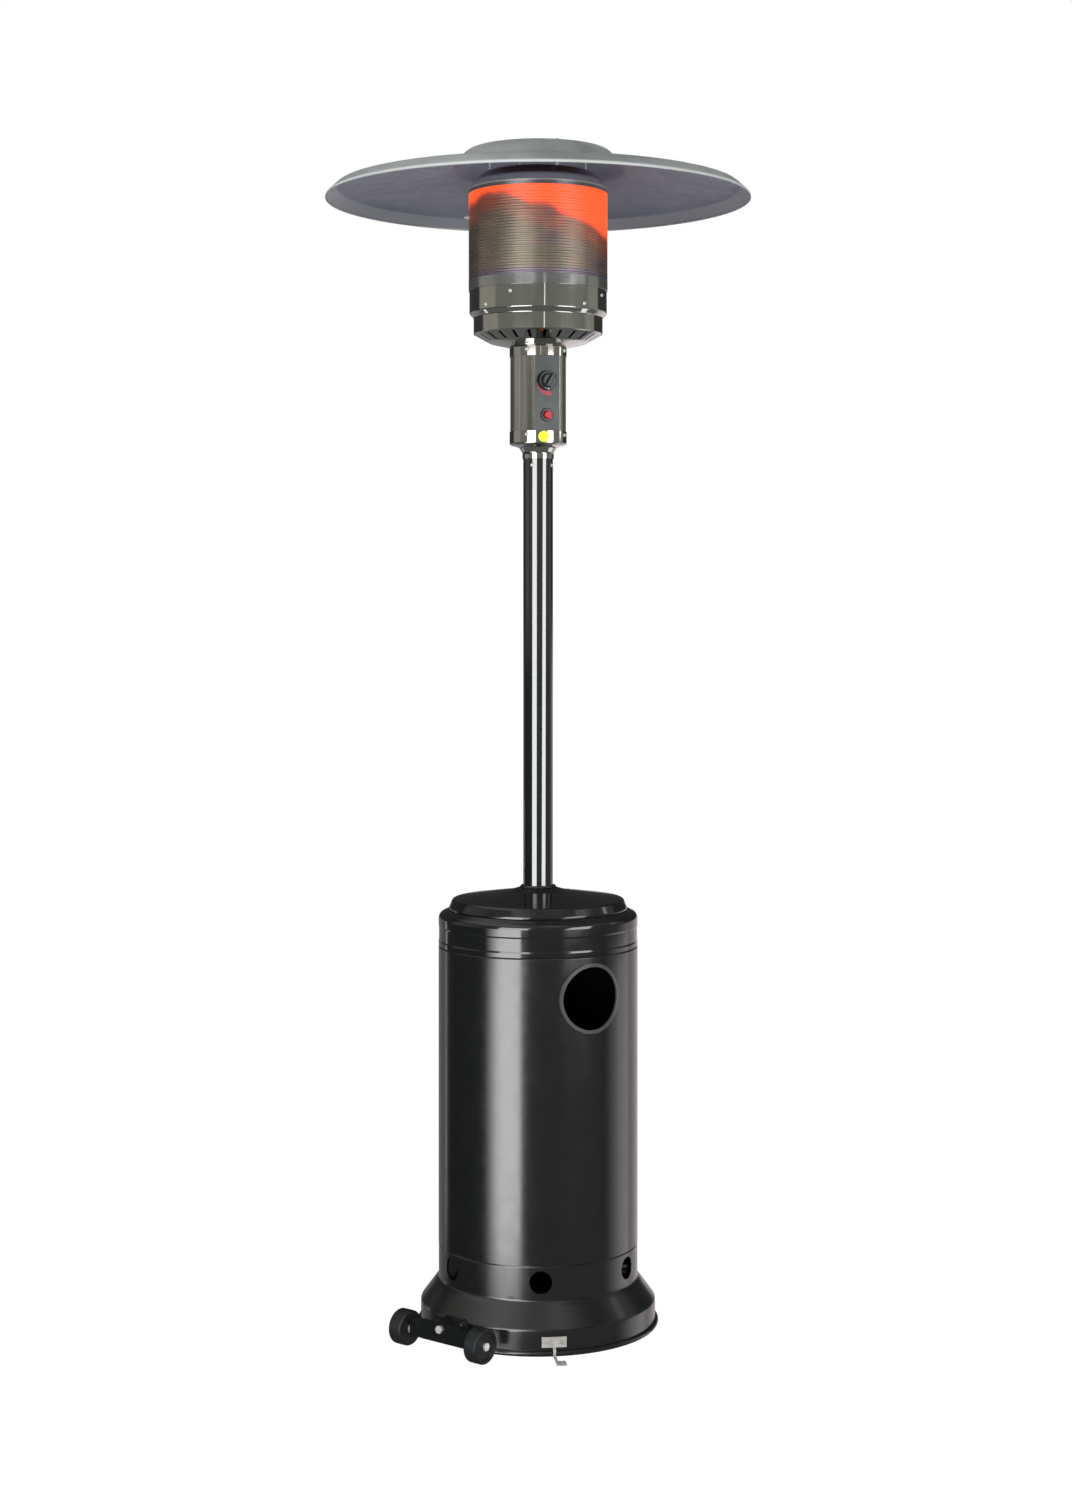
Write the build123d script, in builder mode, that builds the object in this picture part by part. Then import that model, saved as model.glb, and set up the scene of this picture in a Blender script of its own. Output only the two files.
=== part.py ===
from build123d import *
import os
from math import cos, radians, sin

# Gas patio heater in millimetres, +Z up.
# The origin is the centre of the base on the floor, and the control panel faces -Y.
# Azimuths are degrees from the front (-Y) towards the right (+X).

os.makedirs("parts", exist_ok=True)

# Clearances
seat_gap = 0.3
hole_gap = 0.3
running_gap = 0.05
slide_gap = 0.8
post_gap = 0.5

# Base: a pressed skirt with a rolled rim, a neck with air vents and a spigot for the shroud
base_sheet = 1.5
rim_roll_radius = 5.0
rim_roll_out = 1.0
rim_flat_depth = 0.5
skirt_spread = 27.0
skirt_wall_top = 46.0
skirt_slope_rise = 36.0
skirt_break_out = 7.0
skirt_break_rise = 8.0
neck_inset = 0.5
neck_height = 61.0
spigot_rise = 3.0
spigot_height = 26.0
vent_radius = 21.0
vent_rise = 34.0
vent_count = 6
vent_azimuth = -20.0
deck_rise = 12.0
deck_sheet = 2.0
deck_lip = 14.0

# Shroud: a rolled shell, a top ring and a lid that slide up the post together
shroud_sheet = 1.2
shroud_radius = 190.5
shroud_rest_gap = 0.6
shroud_height = 562.4
seam_width = 3.0
top_ring_edge = 8.0
top_ring_waist = 0.8
top_ring_waist_run = 3.0
top_ring_waist_height = 30.0
top_ring_collar = 21.0
top_ring_shoulder_in = 18.5
top_ring_shoulder_rise = 9.0
top_ring_flange_width = 14.0
lid_sheet = 1.2
lid_rim_in = 1.5
lid_lip_height = 3.0
lid_shoulder_in = 6.5
lid_shoulder_rise = 18.4
lid_cone_rise = 16.0
lid_hub_width = 22.0
lid_hub_rise = 7.0
bush_wall = 3.1
bush_length = 12.0
bush_flange_width = 2.5
bush_flange_height = 3.5
hand_hole_radius = 58.5
hand_hole_bead = 7.0
hand_hole_bead_height = 3.0
hand_hole_rise = 487.4
hand_hole_azimuth = 10.0

# Post and the frame that carries it round the gas bottle
post_radius = 28.5
post_wall = 1.5
post_length = 906.0
strut_tube_radius = 11.0
strut_tube_wall = 1.5
strut_inset = 23.5
strut_top_radius = 92.0
strut_bend_drop = 98.0
strut_bend_radius = 50.0
strut_azimuth = 70.0
strut_count = 3
strut_pad_width = 50.0
strut_pad_depth = 34.0
strut_pad_sheet = 3.0
strut_bolt_pitch = 36.0
mount_plate_rise = 30.0
mount_plate_margin = 3.0
mount_plate_sheet = 4.0
mount_socket_wall = 2.7
mount_socket_height = 48.0
mount_bore_margin = 2.0
clamp_count = 3
clamp_nut_height = 6.0

# Wheels: two rollers on one axle, on a bar that a single bolt holds to an arm on the base
wheel_azimuth = -60.0
wheel_out = 57.0
wheel_lift = 4.0
wheel_radius = 32.0
wheel_width = 29.0
wheel_stand_off = 17.0
wheel_edge = 4.0
wheel_dish_depth = 3.0
wheel_dish_radius = 25.0
wheel_dish_slope = 2.0
wheel_hub_radius = 9.0
axle_radius = 4.0
axle_nut_height = 4.5
bar_sheet = 2.5
bar_half_width = 73.0
bar_centre_half_width = 40.0
bar_drop = 11.0
bar_rise = 26.0
bar_end_drop = 10.0
bar_end_rise = 20.0
bar_ahead = 7.0
bar_cheek_depth = 26.0
bar_cheek_slope = 10.0
bar_bolt_rise = 13.5
bar_nut_height = 6.5
arm_sheet = 3.0
arm_half_width = 20.0
arm_low = 14.0
arm_knee = 42.0
arm_run_in = 14.0
arm_web_rise = 25.0
arm_tab_rise = 5.5
arm_rivet_height = 27.0
arm_rivet_pitch = 26.0
arm_rivet_head = 1.8

# Ground anchor: a clip on the skirt with a screw hole in its foot
clip_azimuth = -14.0
clip_sheet = 2.0
clip_plate_width = 46.0
clip_plate_low = 16.0
clip_plate_height = 19.0
clip_strap_width = 5.0
clip_strap_reach = 6.0
clip_foot_out = 30.0
clip_foot_length = 24.0
clip_foot_width = 18.0
clip_floor_gap = 0.3
clip_hole_radius = 2.75
clip_screw_pitch = 30.0

# Head: an adapter, a lower cup, the control housing and the upper collar
head_sheet = 1.0
housing_radius = 53.3
housing_lift = 5.0
housing_height = 179.0
cup_throat_length = 11.5
cup_flare_width = 7.0
cup_flare_rise = 10.5
cup_floor_rise = 4.5
cup_wall_height = 25.0
cup_screw_drop = 7.0
collar_lap = 16.0
collar_screw_drop = 8.0
collar_flange_width = 9.3
adapter_wall = 2.0
adapter_insert = 54.0
adapter_flange_inset = 5.3
post_screw_drop = 24.0
head_screw_azimuth = 45.0
head_screw_count = 4
screw_tail = 3.0
sticker_radius = 10.5
sticker_drop = 11.5
sticker_azimuth = -10.0
sticker_sheet = 0.4

# Control panel with the gas knob and the igniter
panel_half_width = 25.0
panel_inset = 6.3
panel_sheet = 2.0
panel_return = 10.0
panel_tuck = 12.0
knob_rise = 115.0
knob_radius = 18.5
knob_skirt = 3.5
knob_body_radius = 14.5
knob_body_taper = 1.5
knob_depth = 17.0
knob_grip_height = 6.0
knob_grip_width = 8.0
knob_grip_angle = 60.0
knob_front_wall = 3.0
knob_push = 3.5
knob_gap = 4.5
spindle_radius = 4.0
spindle_depth = 20.0
spindle_flat = 1.25
spindle_flat_run_in = 5.0
washer_radius = 6.5
washer_sheet = 0.6
igniter_rise = 50.0
igniter_bezel_radius = 13.0
igniter_bezel_depth = 3.0
igniter_button_radius = 8.0
igniter_button_proud = 9.0
igniter_button_root = 7.0
igniter_bore_room = 8.0
igniter_travel = 5.0
piezo_radius = 9.0
piezo_back = 12.0

# Gas train inside the housing
valve_half_width = 16.0
valve_half_height = 27.0
valve_face_drop = 9.0
valve_back = 12.0
valve_neck_radius = 6.7
valve_outlet_radius = 6.0
valve_inlet_radius = 7.0
valve_port_length = 6.0
valve_port_radius = 3.5
valve_port_rise = 11.0
inlet_pipe_radius = 5.0
inlet_bore_radius = 2.5
inlet_thread_radius = 6.58
inlet_thread_length = 15.0
inlet_hex_lift = 19.0
inlet_hex_height = 10.0
inlet_hex_radius = 11.0
supply_pipe_radius = 4.0
supply_pipe_wall = 1.0
injector_lift = 4.0
injector_hex_radius = 8.0
injector_hex_height = 8.0
injector_cone_radius = 6.0
injector_tip_radius = 2.5
injector_jet_radius = 0.8
injector_length = 18.0
bracket_sheet = 2.0
bracket_half_width = 12.0
bracket_foot = 28.0
bracket_drop = 10.0
tilt_switch_x = 34.0
tilt_switch_y = 6.0
tilt_switch_width = 14.0
tilt_switch_depth = 22.0
tilt_switch_height = 16.0

# Burner and emitter
dish_lift = 3.0
dish_flat_out = 2.4
dish_cone_width = 36.0
dish_knee_rise = 8.5
dish_lip_rise = 16.5
dish_lip_height = 13.0
dish_slot_count = 24
dish_slot_in = 15.5
dish_slot_length = 22.0
dish_slot_width = 3.6
band_low_radius = 123.5
band_low_height = 31.0
band_step = 8.0
band_high_height = 52.0
band_screw_rise = 30.0
band_low_screw_rise = 9.0
band_low_screw_azimuth = 20.0
pan_lift = 3.5
pan_depth = 33.5
burner_radius = 55.0
burner_sink = 18.0
burner_height = 40.0
burner_flange_width = 11.0
burner_wall = 1.2
mixer_radius = 18.0
mixer_lift = 18.0
mixer_mouth = 4.0
mixer_mouth_height = 12.0
spider_width = 6.0
spider_sheet = 2.0
port_radius = 2.5
port_rings = ((16.0, 8), (30.0, 16), (44.0, 24))
screen_out = 1.5
screen_lap = 9.0
screen_height = 192.0
cap_edge = 3.0
cap_shoulder_in = 8.0
cap_shoulder_rise = 13.0
cap_dome_in = 21.0
cap_dome_rise = 19.0
cap_spigot = 11.0
seam_bolt_azimuth = -110.0
seam_bolt_rise = 142.0
seam_bolt_tail = 9.0

# Pilot light beside the burner, with its electrode and thermocouple
pilot_x = 80.0
pilot_y = -12.0
pilot_radius = 5.0
pilot_height = 20.0
pilot_hood_width = 6.0
pilot_hood_height = 5.0
pilot_pad_half_width = 15.0
pilot_pad_half_depth = 21.0
pilot_pad_sheet = 1.5
pilot_pad_forward = 4.0
pilot_pad_lap = 3.0
service_radius = 2.0
service_wall = 0.8
service_run_out = 10.0
service_turn_drop = 4.5
electrode_radius = 3.0
electrode_length = 24.0
electrode_sink = 8.0
electrode_x = 76.0
electrode_y = -22.0
electrode_wire_radius = 1.0
electrode_wire_reach = 7.0
thermocouple_y = 2.0
thermocouple_sink = 6.0
thermocouple_length = 26.0
lead_radius = 1.25
lead_x = 27.0
lead_y = -20.0

# Reflector: one thin spun disc with a raised crown, on four studs
reflector_sheet = 1.0
reflector_radius = 406.5
reflector_lip = 4.0
reflector_flange_width = 21.5
reflector_flange_rise = 23.0
reflector_cone_rise = 35.0
crown_radius = 134.0
crown_foot_out = 16.0
crown_height = 38.0
crown_lift = 44.0
stud_radius = 2.5
stud_circle = 98.0
stud_count = 4
stud_tail = 12.0
stud_tip = 6.0
stud_nut_radius = 4.6
stud_nut_height = 3.5
stud_nut_gap = 0.1

# Fasteners
m4_radius = 2.0
m4_head_radius = 3.7
m4_head_height = 2.2
m4_nut_radius = 4.0
m4_nut_height = 3.5
m4_hex_height = 3.0
m6_radius = 3.0
m6_head_radius = 5.77
m6_head_height = 4.0
m6_nut_height = 5.0
m8_radius = 4.0
m8_head_radius = 7.5
m8_head_height = 5.3
thread_end = 1.0
recess_width = 0.7
recess_depth = 1.0

# Worked-out radii
neck_radius = shroud_radius - neck_inset
neck_inner_radius = neck_radius - base_sheet
skirt_break_radius = neck_radius + skirt_break_out
skirt_wall_radius = skirt_break_radius + skirt_spread
rim_centre_radius = skirt_wall_radius + rim_roll_out
rim_radius = rim_centre_radius + rim_roll_radius
shroud_inner_radius = shroud_radius - shroud_sheet
spigot_radius = shroud_inner_radius - slide_gap
top_ring_shoulder_radius = shroud_radius - top_ring_shoulder_in
top_ring_flange_radius = top_ring_shoulder_radius - top_ring_flange_width
lid_rim_radius = top_ring_shoulder_radius - lid_rim_in
lid_shoulder_radius = lid_rim_radius - lid_shoulder_in
bush_inner_radius = post_radius + slide_gap
bush_groove = bush_inner_radius + bush_wall
lid_throat_radius = bush_groove + 2 * seat_gap
lid_hub_radius = lid_throat_radius + lid_hub_width
post_inner_radius = post_radius - post_wall
strut_circle_radius = neck_inner_radius - strut_inset
mount_plate_radius = strut_top_radius + strut_pad_depth / 2 + mount_plate_margin
socket_inner_radius = post_radius + seat_gap
socket_outer_radius = socket_inner_radius + mount_socket_wall
wheel_reach = skirt_wall_radius + wheel_out
bar_front = wheel_reach + bar_ahead
bar_back = bar_front - bar_sheet
wheel_offset = bar_half_width + wheel_stand_off
clip_foot_near = rim_radius + clip_foot_out
clip_foot_far = clip_foot_near + clip_foot_length
adapter_radius = post_inner_radius - seat_gap
adapter_flange_radius = housing_radius - adapter_flange_inset
cup_throat_radius = post_radius + post_gap + head_sheet
cup_flare_radius = cup_throat_radius + cup_flare_width
cup_radius = housing_radius + seat_gap + head_sheet
housing_inner_radius = housing_radius - head_sheet
collar_flange_radius = housing_radius - collar_flange_width
window_half_width = panel_half_width + seat_gap
panel_front = housing_radius - panel_inset
valve_front = panel_front - valve_face_drop
dish_flat_radius = cup_radius + dish_flat_out
dish_knee_radius = dish_flat_radius + dish_cone_width
dish_slot_circle = band_low_radius - dish_slot_in
band_radius = band_low_radius + band_step
lip_radius = band_low_radius - head_sheet - seat_gap
pan_radius = band_radius - head_sheet - seat_gap
burner_flange_radius = burner_radius + burner_flange_width
screen_radius = band_radius + screen_out
screen_inner_radius = screen_radius - head_sheet
cap_shoulder_radius = screen_radius - cap_shoulder_in
cap_top_radius = cap_shoulder_radius - cap_dome_in
reflector_knee_radius = reflector_radius - reflector_flange_width
crown_foot_radius = crown_radius + crown_foot_out

# Worked-out heights, from the floor up
rim_centre_height = rim_roll_radius - rim_flat_depth
skirt_break_height = skirt_wall_top + skirt_slope_rise
neck_foot = skirt_break_height + skirt_break_rise
vent_height = neck_foot + vent_rise
deck_height = neck_foot + deck_rise
deck_top = deck_height
strut_foot = deck_top + strut_pad_sheet
neck_top = neck_foot + neck_height
spigot_top = neck_top + spigot_rise + spigot_height
shroud_low = neck_top + spigot_rise + shroud_rest_gap
hand_hole_height = shroud_low + hand_hole_rise
shroud_seam_height = shroud_low + shroud_height
ring_low = shroud_seam_height + seam_width
top_ring_bead_low = ring_low + top_ring_edge
top_ring_bead_high = top_ring_bead_low + top_ring_waist_height
top_ring_height = top_ring_bead_high + top_ring_collar
top_ring_shoulder_height = top_ring_height + top_ring_shoulder_rise
lid_low = top_ring_shoulder_height + 2 * seat_gap
lid_shoulder_height = lid_low + lid_shoulder_rise
lid_hub_height = lid_shoulder_height + lid_cone_rise
lid_top = lid_hub_height + lid_hub_rise
mount_plate_height = ring_low + mount_plate_rise
mount_plate_top = mount_plate_height + mount_plate_sheet
strut_head = mount_plate_height - strut_pad_sheet
strut_bend_height = mount_plate_height - strut_bend_drop
post_top = mount_plate_top + post_length
wheel_height = wheel_radius + wheel_lift
bar_low = wheel_height - bar_drop
bar_high = wheel_height + bar_rise
bar_end_low = wheel_height - bar_end_drop
bar_end_high = wheel_height + bar_end_rise
bar_bolt_height = wheel_height + bar_bolt_rise
arm_web_height = wheel_height + arm_web_rise
arm_tab_low = wheel_height + arm_tab_rise
clip_plate_high = clip_plate_low + clip_plate_height
adapter_low = post_top - adapter_insert
post_screw_height = post_top - post_screw_drop
cup_low = post_top - cup_throat_length
cup_flare_height = post_top + cup_flare_rise
cup_floor_height = cup_flare_height + cup_floor_rise
cup_high = cup_floor_height + cup_wall_height
cup_screw_height = cup_high - cup_screw_drop
sticker_height = cup_high - sticker_drop
adapter_flange_height = cup_floor_height
adapter_top = adapter_flange_height + bracket_sheet
housing_low = cup_floor_height + housing_lift
housing_high = housing_low + housing_height
knob_height = housing_low + knob_rise
igniter_height = housing_low + igniter_rise
valve_low = knob_height - valve_half_height
valve_high = knob_height + valve_half_height
inlet_hex_low = adapter_top + inlet_hex_lift
dish_low = housing_high + dish_lift
collar_low = housing_high - collar_lap
collar_high = dish_low
collar_screw_height = dish_low - collar_screw_drop
injector_low = dish_low + injector_lift
mixer_low = dish_low + mixer_lift
dish_knee_height = dish_low + dish_knee_rise
band_low = dish_knee_height + dish_lip_rise
band_step_low = band_low + band_low_height
band_step_high = band_step_low + band_step
band_high = band_step_high + band_high_height
band_screw_height = band_step_high + band_screw_rise
band_low_screw_height = band_step_high + band_low_screw_rise
pan_low = band_step_high + pan_lift
pan_high = pan_low + pan_depth
burner_low = pan_high - burner_sink
burner_high = burner_low + burner_height
screen_low = band_high - screen_lap
screen_high = screen_low + screen_height
seam_bolt_height = screen_low + seam_bolt_rise
cap_shoulder_height = screen_high + cap_edge + cap_shoulder_rise
cap_top = cap_shoulder_height + cap_dome_rise
crown_top = cap_top + crown_lift
crown_foot_height = crown_top - crown_height
reflector_knee_height = crown_foot_height - reflector_cone_rise
reflector_low = reflector_knee_height - reflector_flange_rise
stud_low = cap_top - stud_tail
stud_high = crown_top + stud_tip

# How a round or square form stands on its place, or hangs from it
standing = (Align.CENTER, Align.CENTER, Align.MIN)
hanging = (Align.CENTER, Align.CENTER, Align.MAX)


def wall_plane(azimuth, radius, height, offset=0.0):
    """A plane facing outwards at a point of the wall: its X runs right and its Y runs up."""
    side = sin(radians(azimuth))
    front = cos(radians(azimuth))
    return Plane(
        origin=(radius * side + offset * front, offset * side - radius * front, height),
        x_dir=(front, side, 0),
        z_dir=(side, -front, 0),
    )


def floor_plane(azimuth, radius, height, offset=0.0):
    """A level plane at a point: its X runs right along the wall and its Y runs inwards."""
    side = sin(radians(azimuth))
    front = cos(radians(azimuth))
    return Plane(
        origin=(radius * side + offset * front, offset * side - radius * front, height),
        x_dir=(front, side, 0),
        z_dir=(0, 0, 1),
    )


def side_plane(azimuth, offset):
    """An upright plane through the axis, moved right: its X is the radius and its Y the height.
    An extrusion from it runs left."""
    side = sin(radians(azimuth))
    front = cos(radians(azimuth))
    return Plane(origin=(offset * front, offset * side, 0), x_dir=(side, -front, 0), z_dir=(-front, -side, 0))


def round_the_wall(count, first, radius, height):
    """Evenly spaced wall planes."""
    return [wall_plane(first + step * 360 / count, radius, height) for step in range(count)]


def sheet_section(points, radii, thickness):
    """The half section of a turned sheet: the points follow its outer face from below."""
    with BuildSketch(Plane.XZ) as section:
        with BuildLine():
            FilletPolyline(*points, radius=radii)
            offset(amount=thickness, side=Side.LEFT)
        make_face()
    return section.sketch


def pan_screw(shank_length):
    """One pan head screw with a cross recess: its head stands on the plane and points up Z."""
    with BuildPart() as screw:
        Cone(m4_head_radius, m4_head_radius * 0.62, m4_head_height, align=standing)
        Cylinder(m4_radius, shank_length, align=hanging)
        with Locations((0, 0, m4_head_height)):
            Box(m4_head_radius, recess_width, 2 * recess_depth, mode=Mode.SUBTRACT)
            Box(recess_width, m4_head_radius, 2 * recess_depth, mode=Mode.SUBTRACT)
    return screw.part


def hex_bolt(radius, head_radius, head_height, shank_length):
    """One hexagon bolt: its head stands on the plane and points up Z."""
    with BuildPart() as bolt:
        with BuildSketch():
            RegularPolygon(head_radius, 6)
        extrude(amount=head_height)
        chamfer(bolt.faces().sort_by(Axis.Z)[-1].edges(), head_height * 0.15)
        Cylinder(radius, shank_length, align=hanging)
    return bolt.part


def hex_nut(radius, head_radius, height):
    """One hexagon nut that stands on the plane."""
    with BuildPart() as nut:
        with BuildSketch():
            RegularPolygon(head_radius, 6)
            Circle(radius, mode=Mode.SUBTRACT)
        extrude(amount=height)
    return nut.part


def tube_along(points, radii, outer_radius, inner_radius):
    """A bent tube, or a bent rod where the inner radius is 0."""
    with BuildPart() as tube:
        with BuildLine() as path:
            FilletPolyline(*points, radius=radii)
        with BuildSketch(Plane(path.line @ 0, z_dir=path.line % 0)):
            Circle(outer_radius)
            if inner_radius > 0:
                Circle(inner_radius, mode=Mode.SUBTRACT)
        sweep()
    return tube.part


# Base skirt
arm_rivet_places = [
    wall_plane(wheel_azimuth, skirt_wall_radius, arm_rivet_height, offset=side * arm_rivet_pitch / 2)
    for side in (-1, 1)
]
clip_screw_height = (clip_plate_low + clip_plate_high) / 2
clip_face_radius = skirt_wall_radius + seat_gap + clip_sheet
clip_screw_angle = clip_screw_pitch / 2 / radians(1) / clip_face_radius
clip_screw_azimuths = [clip_azimuth + side * clip_screw_angle for side in (-1, 1)]
with BuildPart() as base_skirt:
    skirt_points = [
        (skirt_wall_radius, rim_centre_height),
        (skirt_wall_radius, skirt_wall_top),
        (skirt_break_radius, skirt_break_height),
        (neck_radius, neck_foot),
        (neck_radius, neck_top),
        (spigot_radius, neck_top + spigot_rise),
        (spigot_radius, spigot_top),
    ]
    revolve(sheet_section(skirt_points, [9, 7, 6, 3, 3], base_sheet), axis=Axis.Z)
    with BuildSketch(Plane.XZ) as roll:
        with Locations((rim_centre_radius, rim_centre_height)):
            Circle(rim_roll_radius)
    revolve(axis=Axis.Z)
    split(bisect_by=Plane.XY, keep=Keep.TOP)
    with Locations(*round_the_wall(vent_count, vent_azimuth, neck_radius, vent_height)):
        Cylinder(vent_radius, 12, mode=Mode.SUBTRACT)
    with Locations(*arm_rivet_places):
        Cylinder(m4_radius + hole_gap, 12, mode=Mode.SUBTRACT)
    with Locations(*[wall_plane(a, skirt_wall_radius, clip_screw_height) for a in clip_screw_azimuths]):
        Cylinder(m4_radius + hole_gap, 12, mode=Mode.SUBTRACT)
base_skirt.part.label = "base_skirt"
export_step(base_skirt.part, "parts/base_skirt.step")

# Base plate: the deck that the gas bottle stands on, spot welded inside the neck
foot_bolt_places = [
    floor_plane(strut_azimuth + step * 360 / strut_count, strut_circle_radius, strut_foot, offset)
    for step in range(strut_count)
    for offset in (-strut_bolt_pitch / 2, strut_bolt_pitch / 2)
]
with BuildPart() as base_plate:
    deck_radius = neck_inner_radius - seat_gap
    deck_points = [(deck_radius, deck_height - deck_lip), (deck_radius, deck_height), (0, deck_height)]
    revolve(sheet_section(deck_points, [4], deck_sheet), axis=Axis.Z)
    with Locations(*foot_bolt_places):
        Cylinder(m6_radius + hole_gap, 30, mode=Mode.SUBTRACT)
base_plate.part.label = "base_plate"
export_step(base_plate.part, "parts/base_plate.step")

# Struts: three bent tubes with welded pads, bolted to the deck and to the post mount
with BuildPart() as strut_form:
    strut_slope = strut_circle_radius - strut_top_radius
    strut_points = [
        (strut_circle_radius, 0, strut_foot),
        (strut_circle_radius, 0, strut_bend_height),
        (strut_top_radius, 0, strut_bend_height + strut_slope),
        (strut_top_radius, 0, strut_head),
    ]
    tangent_room = (strut_head - strut_bend_height - strut_slope) / 0.415
    bends = [strut_bend_radius, min(strut_bend_radius, tangent_room)]
    add(tube_along(strut_points, bends, strut_tube_radius, strut_tube_radius - strut_tube_wall))
    with Locations((strut_circle_radius, 0, deck_top), (strut_top_radius, 0, strut_head)):
        Box(strut_pad_depth, strut_pad_width, strut_pad_sheet, align=standing)
    with Locations((strut_circle_radius, 0, strut_foot), (strut_top_radius, 0, strut_head)):
        with GridLocations(1, strut_bolt_pitch, 1, 2):
            Cylinder(m6_radius + hole_gap, 12, mode=Mode.SUBTRACT)
for index in range(strut_count):
    with BuildPart() as strut:
        with Locations(Rot(0, 0, strut_azimuth + index * 360 / strut_count - 90)):
            add(strut_form.part)
    strut.part.label = f"strut_{index + 1}"
    export_step(strut.part, f"parts/strut_{index + 1}.step")

# Post mount: a plate with a welded socket
head_bolt_places = [
    floor_plane(strut_azimuth + step * 360 / strut_count, strut_top_radius, mount_plate_top, offset)
    for step in range(strut_count)
    for offset in (-strut_bolt_pitch / 2, strut_bolt_pitch / 2)
]
clamp_height = mount_plate_top + mount_socket_height / 2
clamp_places = round_the_wall(clamp_count, strut_azimuth, socket_outer_radius, clamp_height)
with BuildPart() as post_mount:
    with Locations((0, 0, mount_plate_height)):
        Cylinder(mount_plate_radius, mount_plate_sheet, align=standing)
    with Locations((0, 0, mount_plate_top)):
        Cylinder(socket_outer_radius, mount_socket_height, align=standing)
        Cylinder(socket_inner_radius, mount_socket_height, align=standing, mode=Mode.SUBTRACT)
    with Locations((0, 0, mount_plate_height)):
        Cylinder(post_inner_radius - mount_bore_margin, 30, mode=Mode.SUBTRACT)
    with Locations(*head_bolt_places):
        Cylinder(m6_radius + hole_gap, 30, mode=Mode.SUBTRACT)
    with Locations(*clamp_places):
        Cylinder(m8_radius + hole_gap, 10, mode=Mode.SUBTRACT)
post_mount.part.label = "post_mount"
export_step(post_mount.part, "parts/post_mount.step")

# Strut bolts, six through the deck and six through the post mount, each with its nut
with BuildPart() as strut_bolts:
    foot_grip = strut_pad_sheet + deck_sheet
    head_grip = mount_plate_sheet + strut_pad_sheet
    with Locations(*foot_bolt_places):
        add(hex_bolt(m6_radius, m6_head_radius, m6_head_height, foot_grip + m6_nut_height + thread_end))
        with Locations((0, 0, -foot_grip - m6_nut_height)):
            add(hex_nut(m6_radius, m6_head_radius, m6_nut_height))
    with Locations(*head_bolt_places):
        add(hex_bolt(m6_radius, m6_head_radius, m6_head_height, head_grip + m6_nut_height + thread_end))
        with Locations((0, 0, -head_grip - m6_nut_height)):
            add(hex_nut(m6_radius, m6_head_radius, m6_nut_height))
strut_bolts.part.label = "strut_bolts"
export_step(strut_bolts.part, "parts/strut_bolts.step")

# Post clamp bolts: they bear on the post through the socket wall
with BuildPart() as post_clamp_bolts:
    clamp_shank = clamp_nut_height + mount_socket_wall + seat_gap / 2
    with Locations(*clamp_places):
        add(hex_nut(m8_radius, m8_head_radius, clamp_nut_height))
        with Locations((0, 0, clamp_nut_height)):
            add(hex_bolt(m8_radius, m8_head_radius, m8_head_height, clamp_shank))
post_clamp_bolts.part.label = "post_clamp_bolts"
export_step(post_clamp_bolts.part, "parts/post_clamp_bolts.step")

# Post
post_screw_places = round_the_wall(head_screw_count, head_screw_azimuth, post_radius, post_screw_height)
with BuildPart() as post:
    with BuildSketch(Plane.XY.offset(mount_plate_top)):
        Circle(post_radius)
        Circle(post_inner_radius, mode=Mode.SUBTRACT)
    extrude(amount=post_top - mount_plate_top)
    with Locations(*post_screw_places):
        Cylinder(m4_radius + hole_gap, 12, mode=Mode.SUBTRACT)
post.part.label = "post"
export_step(post.part, "parts/post.step")

# Wheel arm: an angle bracket riveted to the skirt, with a tab for the bar
arm_wall = skirt_wall_radius + seat_gap
with BuildPart() as wheel_arm:
    with BuildSketch(side_plane(wheel_azimuth, arm_half_width)):
        with BuildLine():
            FilletPolyline(
                (arm_wall, arm_low),
                (arm_wall, arm_knee),
                (arm_wall + arm_run_in, arm_web_height),
                (bar_back, arm_web_height),
                (bar_back, arm_tab_low),
                radius=[4, 4, 4],
            )
            offset(amount=arm_sheet, side=Side.RIGHT)
        make_face()
    extrude(amount=2 * arm_half_width)
    with Locations(*arm_rivet_places):
        Cylinder(m4_radius + hole_gap, 12, mode=Mode.SUBTRACT)
    with Locations(wall_plane(wheel_azimuth, bar_front, bar_bolt_height)):
        Cylinder(m8_radius + hole_gap, 16, mode=Mode.SUBTRACT)
wheel_arm.part.label = "wheel_arm"
export_step(wheel_arm.part, "parts/wheel_arm.step")

# Arm rivets
arm_face = arm_wall + arm_sheet - skirt_wall_radius
with BuildPart() as arm_rivets:
    for place in arm_rivet_places:
        with Locations(place.offset(arm_face)):
            Cone(m4_head_radius, m4_radius, arm_rivet_head, align=standing)
            Cylinder(m4_radius, arm_face + base_sheet + arm_rivet_head, align=hanging)
arm_rivets.part.label = "arm_rivets"
export_step(arm_rivets.part, "parts/arm_rivets.step")

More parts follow.
